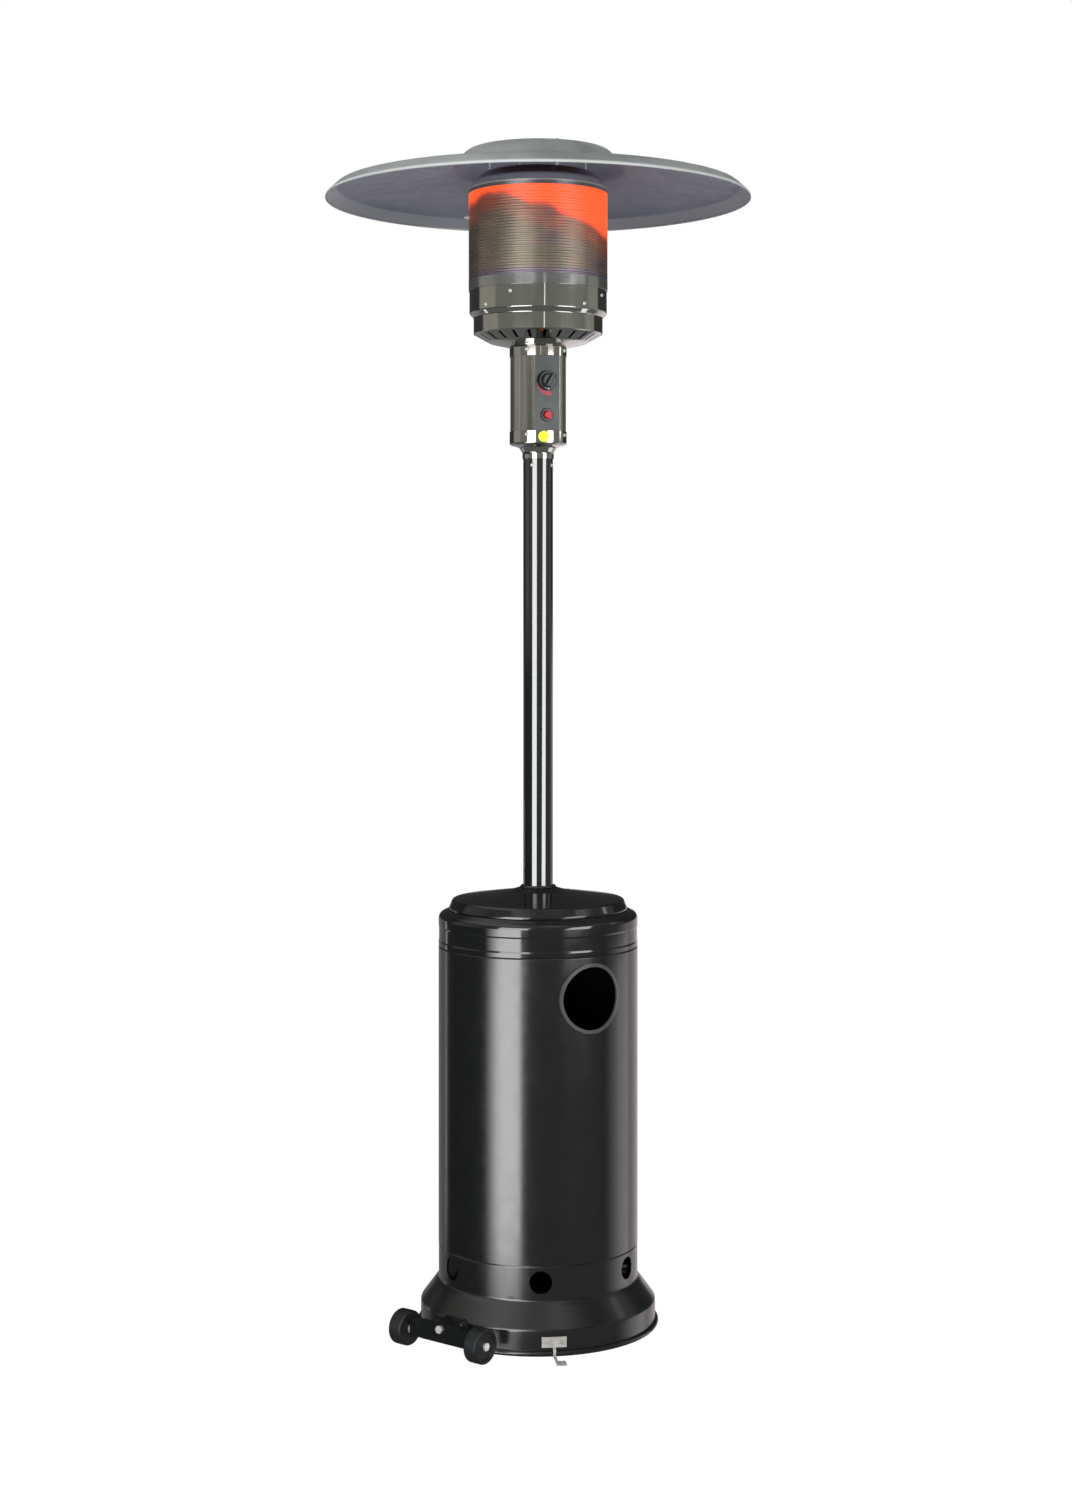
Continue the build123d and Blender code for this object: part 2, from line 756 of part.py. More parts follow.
# Wheel bar: a tapered front plate with two cheeks that carry the axle
with BuildPart() as wheel_bar:
    with BuildSketch(wall_plane(wheel_azimuth, bar_back, 0)):
        with BuildLine():
            Polyline(
                (-bar_half_width, bar_end_low),
                (-bar_centre_half_width, bar_low),
                (bar_centre_half_width, bar_low),
                (bar_half_width, bar_end_low),
                (bar_half_width, bar_end_high),
                (bar_centre_half_width, bar_high),
                (-bar_centre_half_width, bar_high),
                (-bar_half_width, bar_end_high),
                close=True,
            )
        make_face()
    extrude(amount=bar_sheet)
    for cheek_side in (bar_half_width, bar_sheet - bar_half_width):
        with BuildSketch(side_plane(wheel_azimuth, cheek_side)):
            with BuildLine():
                Polyline(
                    (bar_back, bar_end_low),
                    (bar_back, bar_end_high),
                    (bar_back - bar_cheek_depth / 2, bar_end_high),
                    (bar_back - bar_cheek_depth, bar_end_high - bar_cheek_slope),
                    (bar_back - bar_cheek_depth, bar_end_low),
                    close=True,
                )
            make_face()
        extrude(amount=bar_sheet)
    with Locations(wall_plane(wheel_azimuth, bar_front, bar_bolt_height)):
        Cylinder(m8_radius + hole_gap, 16, mode=Mode.SUBTRACT)
    with Locations(Location(side_plane(wheel_azimuth, 0)) * Pos(wheel_reach, wheel_height, 0)):
        Cylinder(axle_radius + seat_gap, 4 * bar_half_width, mode=Mode.SUBTRACT)
wheel_bar.part.label = "wheel_bar"
export_step(wheel_bar.part, "parts/wheel_bar.step")

# Bar bolt and its nut
with BuildPart() as bar_bolt:
    bar_grip = bar_sheet + arm_sheet
    with Locations(wall_plane(wheel_azimuth, bar_front, bar_bolt_height)):
        add(hex_bolt(m8_radius, m8_head_radius, m8_head_height, bar_grip + bar_nut_height + thread_end))
    with Locations(wall_plane(wheel_azimuth, bar_front - bar_grip - bar_nut_height, bar_bolt_height)):
        add(hex_nut(m8_radius, m8_head_radius, bar_nut_height))
bar_bolt.part.label = "bar_bolt"
export_step(bar_bolt.part, "parts/bar_bolt.step")

# Wheel axle: its local Z runs left along the bar
axle_line = Location(side_plane(wheel_azimuth, 0)) * Pos(wheel_reach, wheel_height, 0)
wheel_face = wheel_offset + wheel_width / 2
axle_half_length = wheel_face - wheel_dish_depth + seat_gap + axle_nut_height + thread_end
with BuildPart() as wheel_axle:
    with Locations(axle_line):
        Cylinder(axle_radius, 2 * axle_half_length)
    chamfer(wheel_axle.edges().filter_by(GeomType.CIRCLE), 0.6)
wheel_axle.part.label = "wheel_axle"
export_step(wheel_axle.part, "parts/wheel_axle.step")

# Wheels: moulded rollers with a dished outer face and a hub
for name, sign in (("wheel_left", 1), ("wheel_right", -1)):
    with BuildPart() as wheel:
        with BuildSketch(Plane.XZ):
            with BuildLine():
                FilletPolyline(
                    (axle_radius + running_gap, -wheel_width / 2),
                    (wheel_radius, -wheel_width / 2),
                    (wheel_radius, wheel_width / 2),
                    (wheel_dish_radius, wheel_width / 2),
                    (wheel_dish_radius - wheel_dish_slope, wheel_width / 2 - wheel_dish_depth),
                    (axle_radius + running_gap, wheel_width / 2 - wheel_dish_depth),
                    radius=[wheel_edge, wheel_edge, 1, 1],
                )
                Line(
                    (axle_radius + running_gap, wheel_width / 2 - wheel_dish_depth),
                    (axle_radius + running_gap, -wheel_width / 2),
                )
            make_face()
        revolve(axis=Axis.Z)
    with BuildPart() as placed_wheel:
        with Locations(axle_line * Pos(0, 0, sign * wheel_offset) * Rot(0 if sign > 0 else 180, 0, 0)):
            add(wheel.part)
    placed_wheel.part.label = name
    export_step(placed_wheel.part, f"parts/{name}.step")

# Axle nuts: one in each wheel dish, and one inside each wheel against the bar
with BuildPart() as axle_nuts:
    nut_face = wheel_face - wheel_dish_depth + seat_gap
    inner_low = bar_half_width + seat_gap
    inner_high = wheel_offset - wheel_width / 2 - seat_gap
    for sign in (1, -1):
        with Locations(axle_line * Rot(0 if sign > 0 else 180, 0, 0) * Pos(0, 0, nut_face)):
            add(hex_nut(axle_radius, m8_head_radius, axle_nut_height))
        with Locations(axle_line * Rot(0 if sign > 0 else 180, 0, 0) * Pos(0, 0, inner_low)):
            with BuildSketch(mode=Mode.PRIVATE) as washer:
                Circle(wheel_hub_radius)
                Circle(axle_radius, mode=Mode.SUBTRACT)
            add(extrude(washer.sketch, inner_high - inner_low, mode=Mode.PRIVATE))
axle_nuts.part.label = "axle_nuts"
export_step(axle_nuts.part, "parts/axle_nuts.step")

# Ground anchor clip: a curved plate, a strap round the rolled rim and a foot with a hole
clip_inner_radius = skirt_wall_radius + seat_gap
clip_strap_radius = rim_radius + seat_gap
clip_hole_reach = (clip_foot_near + clip_foot_far) / 2
clip_hole_side = clip_foot_width / 2 - clip_strap_width / 2
with BuildPart() as ground_anchor_clip:
    clip_angle = clip_plate_width / radians(1) / clip_face_radius
    with BuildSketch(side_plane(clip_azimuth - clip_angle / 2, 0)):
        with Locations((clip_inner_radius, clip_plate_low)):
            Rectangle(clip_sheet, clip_plate_height, align=(Align.MIN, Align.MIN))
    revolve(axis=Axis.Z, revolution_arc=clip_angle)
    with BuildSketch(side_plane(clip_azimuth, clip_strap_width / 2)):
        with BuildLine():
            strap = FilletPolyline(
                (clip_inner_radius, clip_plate_low + 6),
                (clip_inner_radius, clip_plate_low + 1),
                (clip_strap_radius, clip_plate_low - clip_strap_reach),
                (clip_strap_radius, clip_floor_gap),
                (clip_foot_far, clip_floor_gap),
                radius=[1, 1, 0.5],
            )
            offset(strap, amount=clip_sheet, side=Side.LEFT)
        make_face()
    extrude(amount=clip_strap_width)
    with BuildSketch(floor_plane(clip_azimuth, clip_hole_reach, clip_floor_gap, offset=clip_hole_side)):
        Rectangle(clip_foot_width, clip_foot_length)
        Circle(clip_hole_radius, mode=Mode.SUBTRACT)
    extrude(amount=clip_sheet)
    with Locations(*[wall_plane(a, clip_face_radius, clip_screw_height) for a in clip_screw_azimuths]):
        Cylinder(m4_radius + hole_gap, 12, mode=Mode.SUBTRACT)
ground_anchor_clip.part.label = "ground_anchor_clip"
export_step(ground_anchor_clip.part, "parts/ground_anchor_clip.step")

# Anchor screws
with BuildPart() as anchor_screws:
    with Locations(*[wall_plane(a, clip_face_radius, clip_screw_height) for a in clip_screw_azimuths]):
        add(pan_screw(clip_face_radius - skirt_wall_radius + base_sheet + screw_tail))
anchor_screws.part.label = "anchor_screws"
export_step(anchor_screws.part, "parts/anchor_screws.step")

# Shroud shell, with a beaded hand hole and a joggled top inside the top ring
with BuildPart() as shroud_shell:
    joggle_radius = shroud_radius - top_ring_waist - head_sheet - seat_gap
    shell_points = [
        (shroud_radius, shroud_low),
        (shroud_radius, shroud_seam_height),
        (joggle_radius, ring_low + seat_gap),
        (joggle_radius, top_ring_bead_high),
    ]
    revolve(sheet_section(shell_points, [1.5, 1.5], shroud_sheet), axis=Axis.Z)
    with BuildPart(mode=Mode.PRIVATE) as bead:
        with BuildSketch(wall_plane(hand_hole_azimuth, 0, hand_hole_height)):
            Circle(hand_hole_radius + hand_hole_bead)
        extrude(amount=shroud_radius + hand_hole_bead_height + 10)
        with BuildSketch():
            Circle(shroud_radius + hand_hole_bead_height)
            Circle(shroud_inner_radius, mode=Mode.SUBTRACT)
        extrude(amount=top_ring_height, mode=Mode.INTERSECT)
        hole_edges = bead.edges().filter_by(lambda e: e.geom_type not in (GeomType.LINE, GeomType.CIRCLE))
        outer_edges = hole_edges.sort_by(lambda e: -e.length)[0:1]
        fillet(outer_edges, hand_hole_bead_height * 0.8)
    add(bead.part)
    with BuildSketch(wall_plane(hand_hole_azimuth, 0, hand_hole_height)):
        Circle(hand_hole_radius)
    extrude(amount=shroud_radius + 20, mode=Mode.SUBTRACT)
shroud_shell.part.label = "shroud_shell"
export_step(shroud_shell.part, "parts/shroud_shell.step")

# Top ring: two beads, a waist between them, a rounded shoulder and an inward flange
with BuildPart() as shroud_top_ring:
    waist_radius = shroud_radius - top_ring_waist
    ring_points = [
        (shroud_radius, ring_low),
        (shroud_radius, top_ring_bead_low),
        (waist_radius, top_ring_bead_low + top_ring_waist_run),
        (waist_radius, top_ring_bead_high - top_ring_waist_run),
        (shroud_radius, top_ring_bead_high),
        (shroud_radius, top_ring_height),
        (top_ring_shoulder_radius, top_ring_shoulder_height),
        (top_ring_flange_radius, top_ring_shoulder_height),
    ]
    revolve(sheet_section(ring_points, [1.5, 1.5, 1.5, 1.5, 12, 6], head_sheet), axis=Axis.Z)
shroud_top_ring.part.label = "shroud_top_ring"
export_step(shroud_top_ring.part, "parts/shroud_top_ring.step")

# Lid
with BuildPart() as shroud_lid:
    lid_points = [
        (lid_rim_radius, lid_low),
        (lid_rim_radius, lid_low + lid_lip_height),
        (lid_shoulder_radius, lid_shoulder_height),
        (lid_hub_radius, lid_hub_height),
        (lid_throat_radius, lid_top),
    ]
    revolve(sheet_section(lid_points, [4, 6, 12], lid_sheet), axis=Axis.Z)
shroud_lid.part.label = "shroud_lid"
export_step(shroud_lid.part, "parts/shroud_lid.step")

# Post bush: a plastic ring in the lid's throat that slides on the post
with BuildPart() as lid_post_bush:
    bush_top = lid_top + bush_flange_height
    bush_low = lid_top - bush_length
    with BuildSketch(Plane.XZ):
        with BuildLine():
            Polyline(
                (bush_inner_radius, bush_low),
                (bush_groove, bush_low),
                (bush_groove, lid_top + seat_gap),
                (bush_groove + bush_flange_width, lid_top + seat_gap),
                (bush_groove, bush_top),
                (bush_inner_radius, bush_top),
                close=True,
            )
        make_face()
    revolve(axis=Axis.Z)
lid_post_bush.part.label = "lid_post_bush"
export_step(lid_post_bush.part, "parts/lid_post_bush.step")

# Post-top adapter: a sleeve inside the post, with a flange that the lower cup sits round
with BuildPart() as head_adapter_sleeve:
    with BuildSketch(Plane.XY.offset(adapter_low)):
        Circle(adapter_radius)
    extrude(amount=adapter_flange_height - adapter_low)
    with BuildSketch(Plane.XY.offset(adapter_flange_height)):
        Circle(adapter_flange_radius)
    extrude(amount=bracket_sheet)
    with Locations((0, 0, adapter_low)):
        Cylinder(adapter_radius - adapter_wall, 3 * adapter_insert, align=standing, mode=Mode.SUBTRACT)
    with Locations(*post_screw_places):
        Cylinder(m4_radius + running_gap, 30, mode=Mode.SUBTRACT)
head_adapter_sleeve.part.label = "head_adapter_sleeve"
export_step(head_adapter_sleeve.part, "parts/head_adapter_sleeve.step")

# Post-top screws: they also stop the shroud when it is lifted
with BuildPart() as post_top_screws:
    with Locations(*post_screw_places):
        add(pan_screw(post_wall + seat_gap + adapter_wall + thread_end))
post_top_screws.part.label = "post_top_screws"
export_step(post_top_screws.part, "parts/post_top_screws.step")

# Lower cup: a flared throat over the post and a short wall round the housing
cup_screw_places = round_the_wall(head_screw_count, head_screw_azimuth, cup_radius, cup_screw_height)
with BuildPart() as lower_cup:
    cup_points = [
        (cup_throat_radius, cup_low),
        (cup_throat_radius, post_top),
        (cup_flare_radius, cup_flare_height),
        (cup_radius, cup_floor_height),
        (cup_radius, cup_high),
    ]
    revolve(sheet_section(cup_points, [10, 6, 4], head_sheet), axis=Axis.Z)
    with Locations(*cup_screw_places):
        Cylinder(m4_radius + hole_gap, 12, mode=Mode.SUBTRACT)
lower_cup.part.label = "lower_cup"
export_step(lower_cup.part, "parts/lower_cup.step")

# Control housing: a rolled sheet, open at the front, with its edges turned in beside the panel
collar_screw_places = round_the_wall(head_screw_count, head_screw_azimuth, cup_radius, collar_screw_height)
with BuildPart() as control_housing:
    return_front = panel_front - 0.5
    with BuildSketch(Plane.XY.offset(housing_low)):
        Circle(housing_radius)
        Circle(housing_inner_radius, mode=Mode.SUBTRACT)
        with Locations((0, -housing_radius)):
            Rectangle(2 * window_half_width, housing_radius, mode=Mode.SUBTRACT)
        for side in (-1, 1):
            with Locations((side * (window_half_width + head_sheet / 2), -return_front)):
                Rectangle(head_sheet, panel_return - 2, align=(Align.CENTER, Align.MIN))
    extrude(amount=housing_height)
    with Locations(*cup_screw_places, *collar_screw_places):
        Cylinder(m4_radius + hole_gap, 12, mode=Mode.SUBTRACT)
control_housing.part.label = "control_housing"
export_step(control_housing.part, "parts/control_housing.step")

# Control panel: a flat black face with side returns, its ends tucked into the cup and the collar
panel_low = cup_high - panel_tuck
panel_high = collar_low + panel_tuck
with BuildPart() as control_panel:
    with BuildSketch(Plane.XY.offset(panel_low)):
        with Locations((0, -panel_front)):
            Rectangle(2 * panel_half_width, panel_return, align=(Align.CENTER, Align.MIN))
        with Locations((0, panel_sheet - panel_front)):
            Rectangle(
                2 * (panel_half_width - panel_sheet),
                panel_return,
                align=(Align.CENTER, Align.MIN),
                mode=Mode.SUBTRACT,
            )
    extrude(amount=panel_high - panel_low)
    with Locations(wall_plane(0, panel_front, knob_height)):
        Cylinder(valve_neck_radius + hole_gap, 3 * panel_sheet, mode=Mode.SUBTRACT)
    with Locations(wall_plane(0, panel_front, igniter_height)):
        Cylinder(piezo_radius + hole_gap, 3 * panel_sheet, mode=Mode.SUBTRACT)
control_panel.part.label = "control_panel"
export_step(control_panel.part, "parts/control_panel.step")

# Upper collar
with BuildPart() as upper_collar:
    collar_points = [(cup_radius, collar_low), (cup_radius, collar_high), (collar_flange_radius, collar_high)]
    revolve(sheet_section(collar_points, [2], head_sheet), axis=Axis.Z)
    with Locations(*collar_screw_places):
        Cylinder(m4_radius + hole_gap, 12, mode=Mode.SUBTRACT)
upper_collar.part.label = "upper_collar"
export_step(upper_collar.part, "parts/upper_collar.step")

# Housing screws: four through the cup and four through the collar
with BuildPart() as housing_screws:
    with Locations(*cup_screw_places, *collar_screw_places):
        add(pan_screw(2 * head_sheet + seat_gap + screw_tail))
housing_screws.part.label = "housing_screws"
export_step(housing_screws.part, "parts/housing_screws.step")

# Round sticker on the cup, bare
with BuildPart() as round_sticker:
    with BuildSketch(wall_plane(sticker_azimuth, 0, sticker_height)):
        Circle(sticker_radius)
    extrude(amount=cup_radius + sticker_sheet + 5)
    with BuildSketch(Plane.XY.offset(cup_low)):
        Circle(cup_radius + sticker_sheet)
        Circle(cup_radius, mode=Mode.SUBTRACT)
    extrude(amount=cup_high - cup_low, mode=Mode.INTERSECT)
round_sticker.part.label = "round_sticker"
export_step(round_sticker.part, "parts/round_sticker.step")

# Gas valve body: a block with a neck in the panel, outlet and side ports, and a spindle bore
pilot_port_height = knob_height + valve_port_rise
thermocouple_port_height = knob_height - valve_port_rise
side_ports = ((pilot_y, pilot_port_height), (thermocouple_y, thermocouple_port_height))
with BuildPart() as gas_valve_body:
    with BuildSketch(Plane.XY.offset(valve_low)):
        with Locations((0, -valve_front)):
            Rectangle(2 * valve_half_width, valve_front + valve_back, align=(Align.CENTER, Align.MIN))
    extrude(amount=valve_high - valve_low)
    chamfer(gas_valve_body.edges().filter_by(Axis.Z), 4)
    with Locations(wall_plane(0, valve_front - 1, knob_height)):
        Cylinder(valve_neck_radius, valve_face_drop, align=standing)
    with Locations((0, 0, valve_high)):
        Cylinder(valve_outlet_radius, valve_port_length, align=standing)
    with Locations((0, 0, valve_low)):
        Cylinder(valve_inlet_radius, valve_port_length, align=hanging)
    for port_y, port_z in side_ports:
        with Locations(Location((0, port_y, port_z), (0, 90, 0))):
            Cylinder(valve_port_radius, valve_half_width + valve_port_length, align=standing)
    with Locations(wall_plane(0, panel_front, knob_height)):
        spindle_bore_depth = spindle_depth + valve_face_drop + knob_push + 1
        Cylinder(spindle_radius + running_gap, spindle_bore_depth, align=hanging, mode=Mode.SUBTRACT)
gas_valve_body.part.label = "gas_valve_body"
export_step(gas_valve_body.part, "parts/gas_valve_body.step")

# Valve bracket: a strip from the adapter flange up the back of the valve
with BuildPart() as valve_bracket:
    with BuildSketch(Plane.YZ.offset(-bracket_half_width)):
        with BuildLine():
            FilletPolyline(
                (valve_back, valve_high - bracket_drop),
                (valve_back, adapter_top),
                (valve_back + bracket_foot, adapter_top),
                radius=[4],
            )
            offset(amount=bracket_sheet, side=Side.LEFT)
        make_face()
    extrude(amount=2 * bracket_half_width)
valve_bracket.part.label = "valve_bracket"
export_step(valve_bracket.part, "parts/valve_bracket.step")

# Gas inlet fitting: a pipe, a hexagon and a threaded end that the hose nut screws onto
with BuildPart() as gas_inlet_fitting:
    inlet_pipe_length = valve_low - valve_port_length - inlet_hex_low
    with Locations((0, 0, inlet_hex_low)):
        Cylinder(inlet_pipe_radius, inlet_pipe_length, align=standing)
        Cylinder(inlet_thread_radius, inlet_thread_length, align=hanging)
    with BuildSketch(Plane.XY.offset(inlet_hex_low)):
        RegularPolygon(inlet_hex_radius, 6)
    extrude(amount=inlet_hex_height)
    with Locations((0, 0, inlet_hex_low)):
        Cylinder(inlet_bore_radius, 3 * inlet_pipe_length, mode=Mode.SUBTRACT)
gas_inlet_fitting.part.label = "gas_inlet_fitting"
export_step(gas_inlet_fitting.part, "parts/gas_inlet_fitting.step")

# Tilt switch on the adapter flange
with BuildPart() as tilt_switch:
    with Locations((tilt_switch_x, tilt_switch_y, adapter_top)):
        Box(tilt_switch_width, tilt_switch_depth, tilt_switch_height, align=standing)
    chamfer(tilt_switch.edges().filter_by(Axis.Z), 1.5)
tilt_switch.part.label = "tilt_switch"
export_step(tilt_switch.part, "parts/tilt_switch.step")

# Valve spindle with the flat that drives the knob
knob_back = panel_front + knob_gap
spindle_tip = knob_back + knob_depth - knob_front_wall
with BuildPart() as valve_spindle:
    with Locations(wall_plane(0, valve_front - spindle_depth, knob_height)):
        Cylinder(spindle_radius, spindle_tip - valve_front + spindle_depth, align=standing)
    with Locations((0, -knob_back - spindle_flat_run_in, knob_height + spindle_radius)):
        Box(
            2 * spindle_radius,
            spindle_tip - knob_back,
            2 * spindle_flat,
            align=(Align.CENTER, Align.MAX, Align.CENTER),
            mode=Mode.SUBTRACT,
        )
valve_spindle.part.label = "valve_spindle"
export_step(valve_spindle.part, "parts/valve_spindle.step")

# Spindle washer: it moves in with the spindle but does not turn
with BuildPart() as spindle_washer:
    with Locations(wall_plane(0, knob_back - seat_gap - washer_sheet, knob_height)):
        Cylinder(washer_radius, washer_sheet, align=standing)
        Cylinder(spindle_radius + running_gap, 4 * washer_sheet, mode=Mode.SUBTRACT)
spindle_washer.part.label = "spindle_washer"
export_step(spindle_washer.part, "parts/spindle_washer.step")

# Control knob: a skirt, a round body and a grip bar, bored for the spindle
with BuildPart() as control_knob:
    knob_face = wall_plane(0, knob_back, knob_height)
    with Locations(knob_face):
        Cylinder(knob_radius, knob_skirt, align=standing)
    fillet(control_knob.edges().sort_by(Axis.Y)[0], 1.2)
    with Locations(knob_face):
        knob_body_height = knob_depth - knob_grip_height
        Cone(knob_body_radius, knob_body_radius - knob_body_taper, knob_body_height, align=standing)
    fillet(control_knob.edges().sort_by(Axis.Y)[0], 1.5)
    with BuildSketch(knob_face):
        SlotOverall(2 * knob_body_radius - 1, knob_grip_width, rotation=knob_grip_angle)
    extrude(amount=knob_depth)
    fillet(control_knob.faces().sort_by(Axis.Y)[0].edges(), 1.5)
    with Locations(wall_plane(0, spindle_tip, knob_height)):
        Cylinder(spindle_radius, 3 * knob_depth, align=hanging, mode=Mode.SUBTRACT)
control_knob.part.label = "control_knob"
export_step(control_knob.part, "parts/control_knob.step")

# Piezo igniter body behind the panel, its bezel and its button
bore_radius = igniter_button_radius + seat_gap
with BuildPart() as piezo_igniter_body:
    with Locations(wall_plane(0, panel_front, igniter_height)):
        Cylinder(piezo_radius, panel_front - piezo_back, align=hanging)
        Cylinder(bore_radius, igniter_travel + igniter_bore_room, align=hanging, mode=Mode.SUBTRACT)
piezo_igniter_body.part.label = "piezo_igniter_body"
export_step(piezo_igniter_body.part, "parts/piezo_igniter_body.step")

with BuildPart() as igniter_bezel:
    with Locations(wall_plane(0, panel_front, igniter_height)):
        Cylinder(igniter_bezel_radius, igniter_bezel_depth, align=standing)
    fillet(igniter_bezel.edges().sort_by(Axis.Y)[0], 1.2)
    with Locations(wall_plane(0, panel_front, igniter_height)):
        Cylinder(bore_radius, 3 * igniter_bezel_depth, mode=Mode.SUBTRACT)
igniter_bezel.part.label = "igniter_bezel"
export_step(igniter_bezel.part, "parts/igniter_bezel.step")

with BuildPart() as igniter_button:
    with Locations(wall_plane(0, panel_front - igniter_button_root, igniter_height)):
        Cylinder(igniter_button_radius, igniter_button_root + igniter_button_proud, align=standing)
    fillet(igniter_button.edges().sort_by(Axis.Y)[0], 2)
igniter_button.part.label = "igniter_button"
export_step(igniter_button.part, "parts/igniter_button.step")

# Ignition lead from the piezo body to the electrode
lead_low = igniter_height + piezo_radius
electrode_low = pan_high - electrode_sink
with BuildPart() as ignition_lead:
    lead_points = [
        (0, lead_y, lead_low),
        (0, lead_y, lead_low + 13.5),
        (lead_x, lead_y, lead_low + 21.5),
        (lead_x, lead_y, dish_low + 23),
        (electrode_x, electrode_y, electrode_low - 20),
        (electrode_x, electrode_y, electrode_low),
    ]
    add(tube_along(lead_points, [5, 5, 12, 12], lead_radius, 0))
ignition_lead.part.label = "ignition_lead"
export_step(ignition_lead.part, "parts/ignition_lead.step")

# Burner supply pipe and injector
with BuildPart() as burner_supply_pipe:
    with BuildSketch(Plane.XY.offset(valve_high + valve_port_length)):
        Circle(supply_pipe_radius)
        Circle(supply_pipe_radius - supply_pipe_wall, mode=Mode.SUBTRACT)
    extrude(amount=injector_low - valve_high - valve_port_length)
burner_supply_pipe.part.label = "burner_supply_pipe"
export_step(burner_supply_pipe.part, "parts/burner_supply_pipe.step")

with BuildPart() as injector:
    with BuildSketch(Plane.XY.offset(injector_low)):
        RegularPolygon(injector_hex_radius, 6)
    extrude(amount=injector_hex_height)
    with Locations((0, 0, injector_low + injector_hex_height)):
        cone_height = injector_length - injector_hex_height
        Cone(injector_cone_radius, injector_tip_radius, cone_height, align=standing)
    with Locations((0, 0, injector_low)):
        Cylinder(injector_jet_radius, 3 * injector_length, mode=Mode.SUBTRACT)
injector.part.label = "injector"
export_step(injector.part, "parts/injector.step")

# Mixing tube: it flares round the injector, with a spider that holds it there
with BuildPart() as mixing_tube:
    mixer_neck = mixer_low + mixer_mouth_height
    mixer_points = [
        (mixer_radius + mixer_mouth, mixer_low),
        (mixer_radius, mixer_neck),
        (mixer_radius, burner_low),
    ]
    revolve(sheet_section(mixer_points, [8], burner_wall), axis=Axis.Z)
    with Locations((0, 0, mixer_neck + spider_sheet)):
        Box(2 * mixer_radius - 1, spider_width, spider_sheet)
        Box(spider_width, 2 * mixer_radius - 1, spider_sheet)
        Cylinder(spider_width, spider_sheet)
        Cylinder(spider_width - spider_sheet, 3 * spider_sheet, mode=Mode.SUBTRACT)
mixing_tube.part.label = "mixing_tube"
export_step(mixing_tube.part, "parts/mixing_tube.step")

# Burner head: a drum with a flange on the pan and rings of gas ports in its top
with BuildPart() as burner_head:
    drum_points = [(burner_radius, burner_low), (burner_radius, burner_high), (0, burner_high)]
    revolve(sheet_section(drum_points, [6], burner_wall), axis=Axis.Z)
    with BuildSketch(Plane.XY.offset(burner_low)):
        Circle(burner_radius)
        Circle(mixer_radius - burner_wall, mode=Mode.SUBTRACT)
    extrude(amount=burner_wall)
    with BuildSketch(Plane.XY.offset(pan_high)):
        Circle(burner_flange_radius)
        Circle(burner_radius - burner_wall / 2, mode=Mode.SUBTRACT)
    extrude(amount=burner_wall)
    with BuildSketch(Plane.XY.offset(burner_high - 5)):
        for ring_radius, port_count in port_rings:
            with PolarLocations(ring_radius, port_count):
                Circle(port_radius)
    extrude(amount=10, mode=Mode.SUBTRACT)
burner_head.part.label = "burner_head"
export_step(burner_head.part, "parts/burner_head.step")

# Burner pan: it hangs in the band and holds the burner head and the pilot
pan_screw_places = [
    *round_the_wall(head_screw_count, head_screw_azimuth, band_radius, band_screw_height),
    *round_the_wall(head_screw_count, band_low_screw_azimuth, band_radius, band_low_screw_height),
]
pilot_pad_y = (pilot_y + thermocouple_y) / 2 - pilot_pad_forward
pilot_window_width = 2 * (pilot_pad_half_width - pilot_pad_forward)
pilot_window_depth = 2 * (pilot_pad_half_depth - pilot_pad_lap)
with BuildPart() as burner_pan:
    pan_points = [(pan_radius, pan_low), (pan_radius, pan_high), (burner_radius + hole_gap, pan_high)]
    revolve(sheet_section(pan_points, [4], head_sheet), axis=Axis.Z)
    with Locations((pilot_x, pilot_pad_y, pan_high)):
        Box(pilot_window_width, pilot_window_depth, 3 * head_sheet, mode=Mode.SUBTRACT)
    with Locations(*pan_screw_places):
        Cylinder(m4_radius + hole_gap, 12, mode=Mode.SUBTRACT)
burner_pan.part.label = "burner_pan"
export_step(burner_pan.part, "parts/burner_pan.step")

# Pilot burner on its pad, with a hood
with BuildPart() as pilot_burner:
    with Locations((pilot_x + pilot_pad_forward, pilot_pad_y, pan_high)):
        Box(2 * pilot_pad_half_width, 2 * pilot_pad_half_depth, pilot_pad_sheet, align=standing)
    with Locations((pilot_x, pilot_y, pan_high)):
        Cylinder(pilot_radius, pilot_height, align=standing)
    with Locations((pilot_x - pilot_radius, pilot_y, pan_high + pilot_height - pilot_hood_height)):
        Box(pilot_hood_width, pilot_radius, pilot_hood_height, mode=Mode.SUBTRACT)
    with Locations((pilot_x, thermocouple_y, pan_high), (electrode_x, electrode_y, pan_high)):
        Cylinder(electrode_radius + hole_gap, 3 * pilot_pad_sheet, mode=Mode.SUBTRACT)
pilot_burner.part.label = "pilot_burner"
export_step(pilot_burner.part, "parts/pilot_burner.step")

# Pilot pipe from the valve to the pilot burner
port_face = valve_half_width + valve_port_length
service_turn = port_face + service_run_out
service_turn_height = pan_low - service_turn_drop
with BuildPart() as pilot_pipe:
    pilot_points = [
        (port_face, pilot_y, pilot_port_height),
        (service_turn, pilot_y, pilot_port_height),
        (service_turn, pilot_y, mixer_low),
        (pilot_x, pilot_y, service_turn_height),
        (pilot_x, pilot_y, pan_high),
    ]
    add(tube_along(pilot_points, [6, 14, 14], service_radius, service_radius - service_wall))
pilot_pipe.part.label = "pilot_pipe"
export_step(pilot_pipe.part, "parts/pilot_pipe.step")

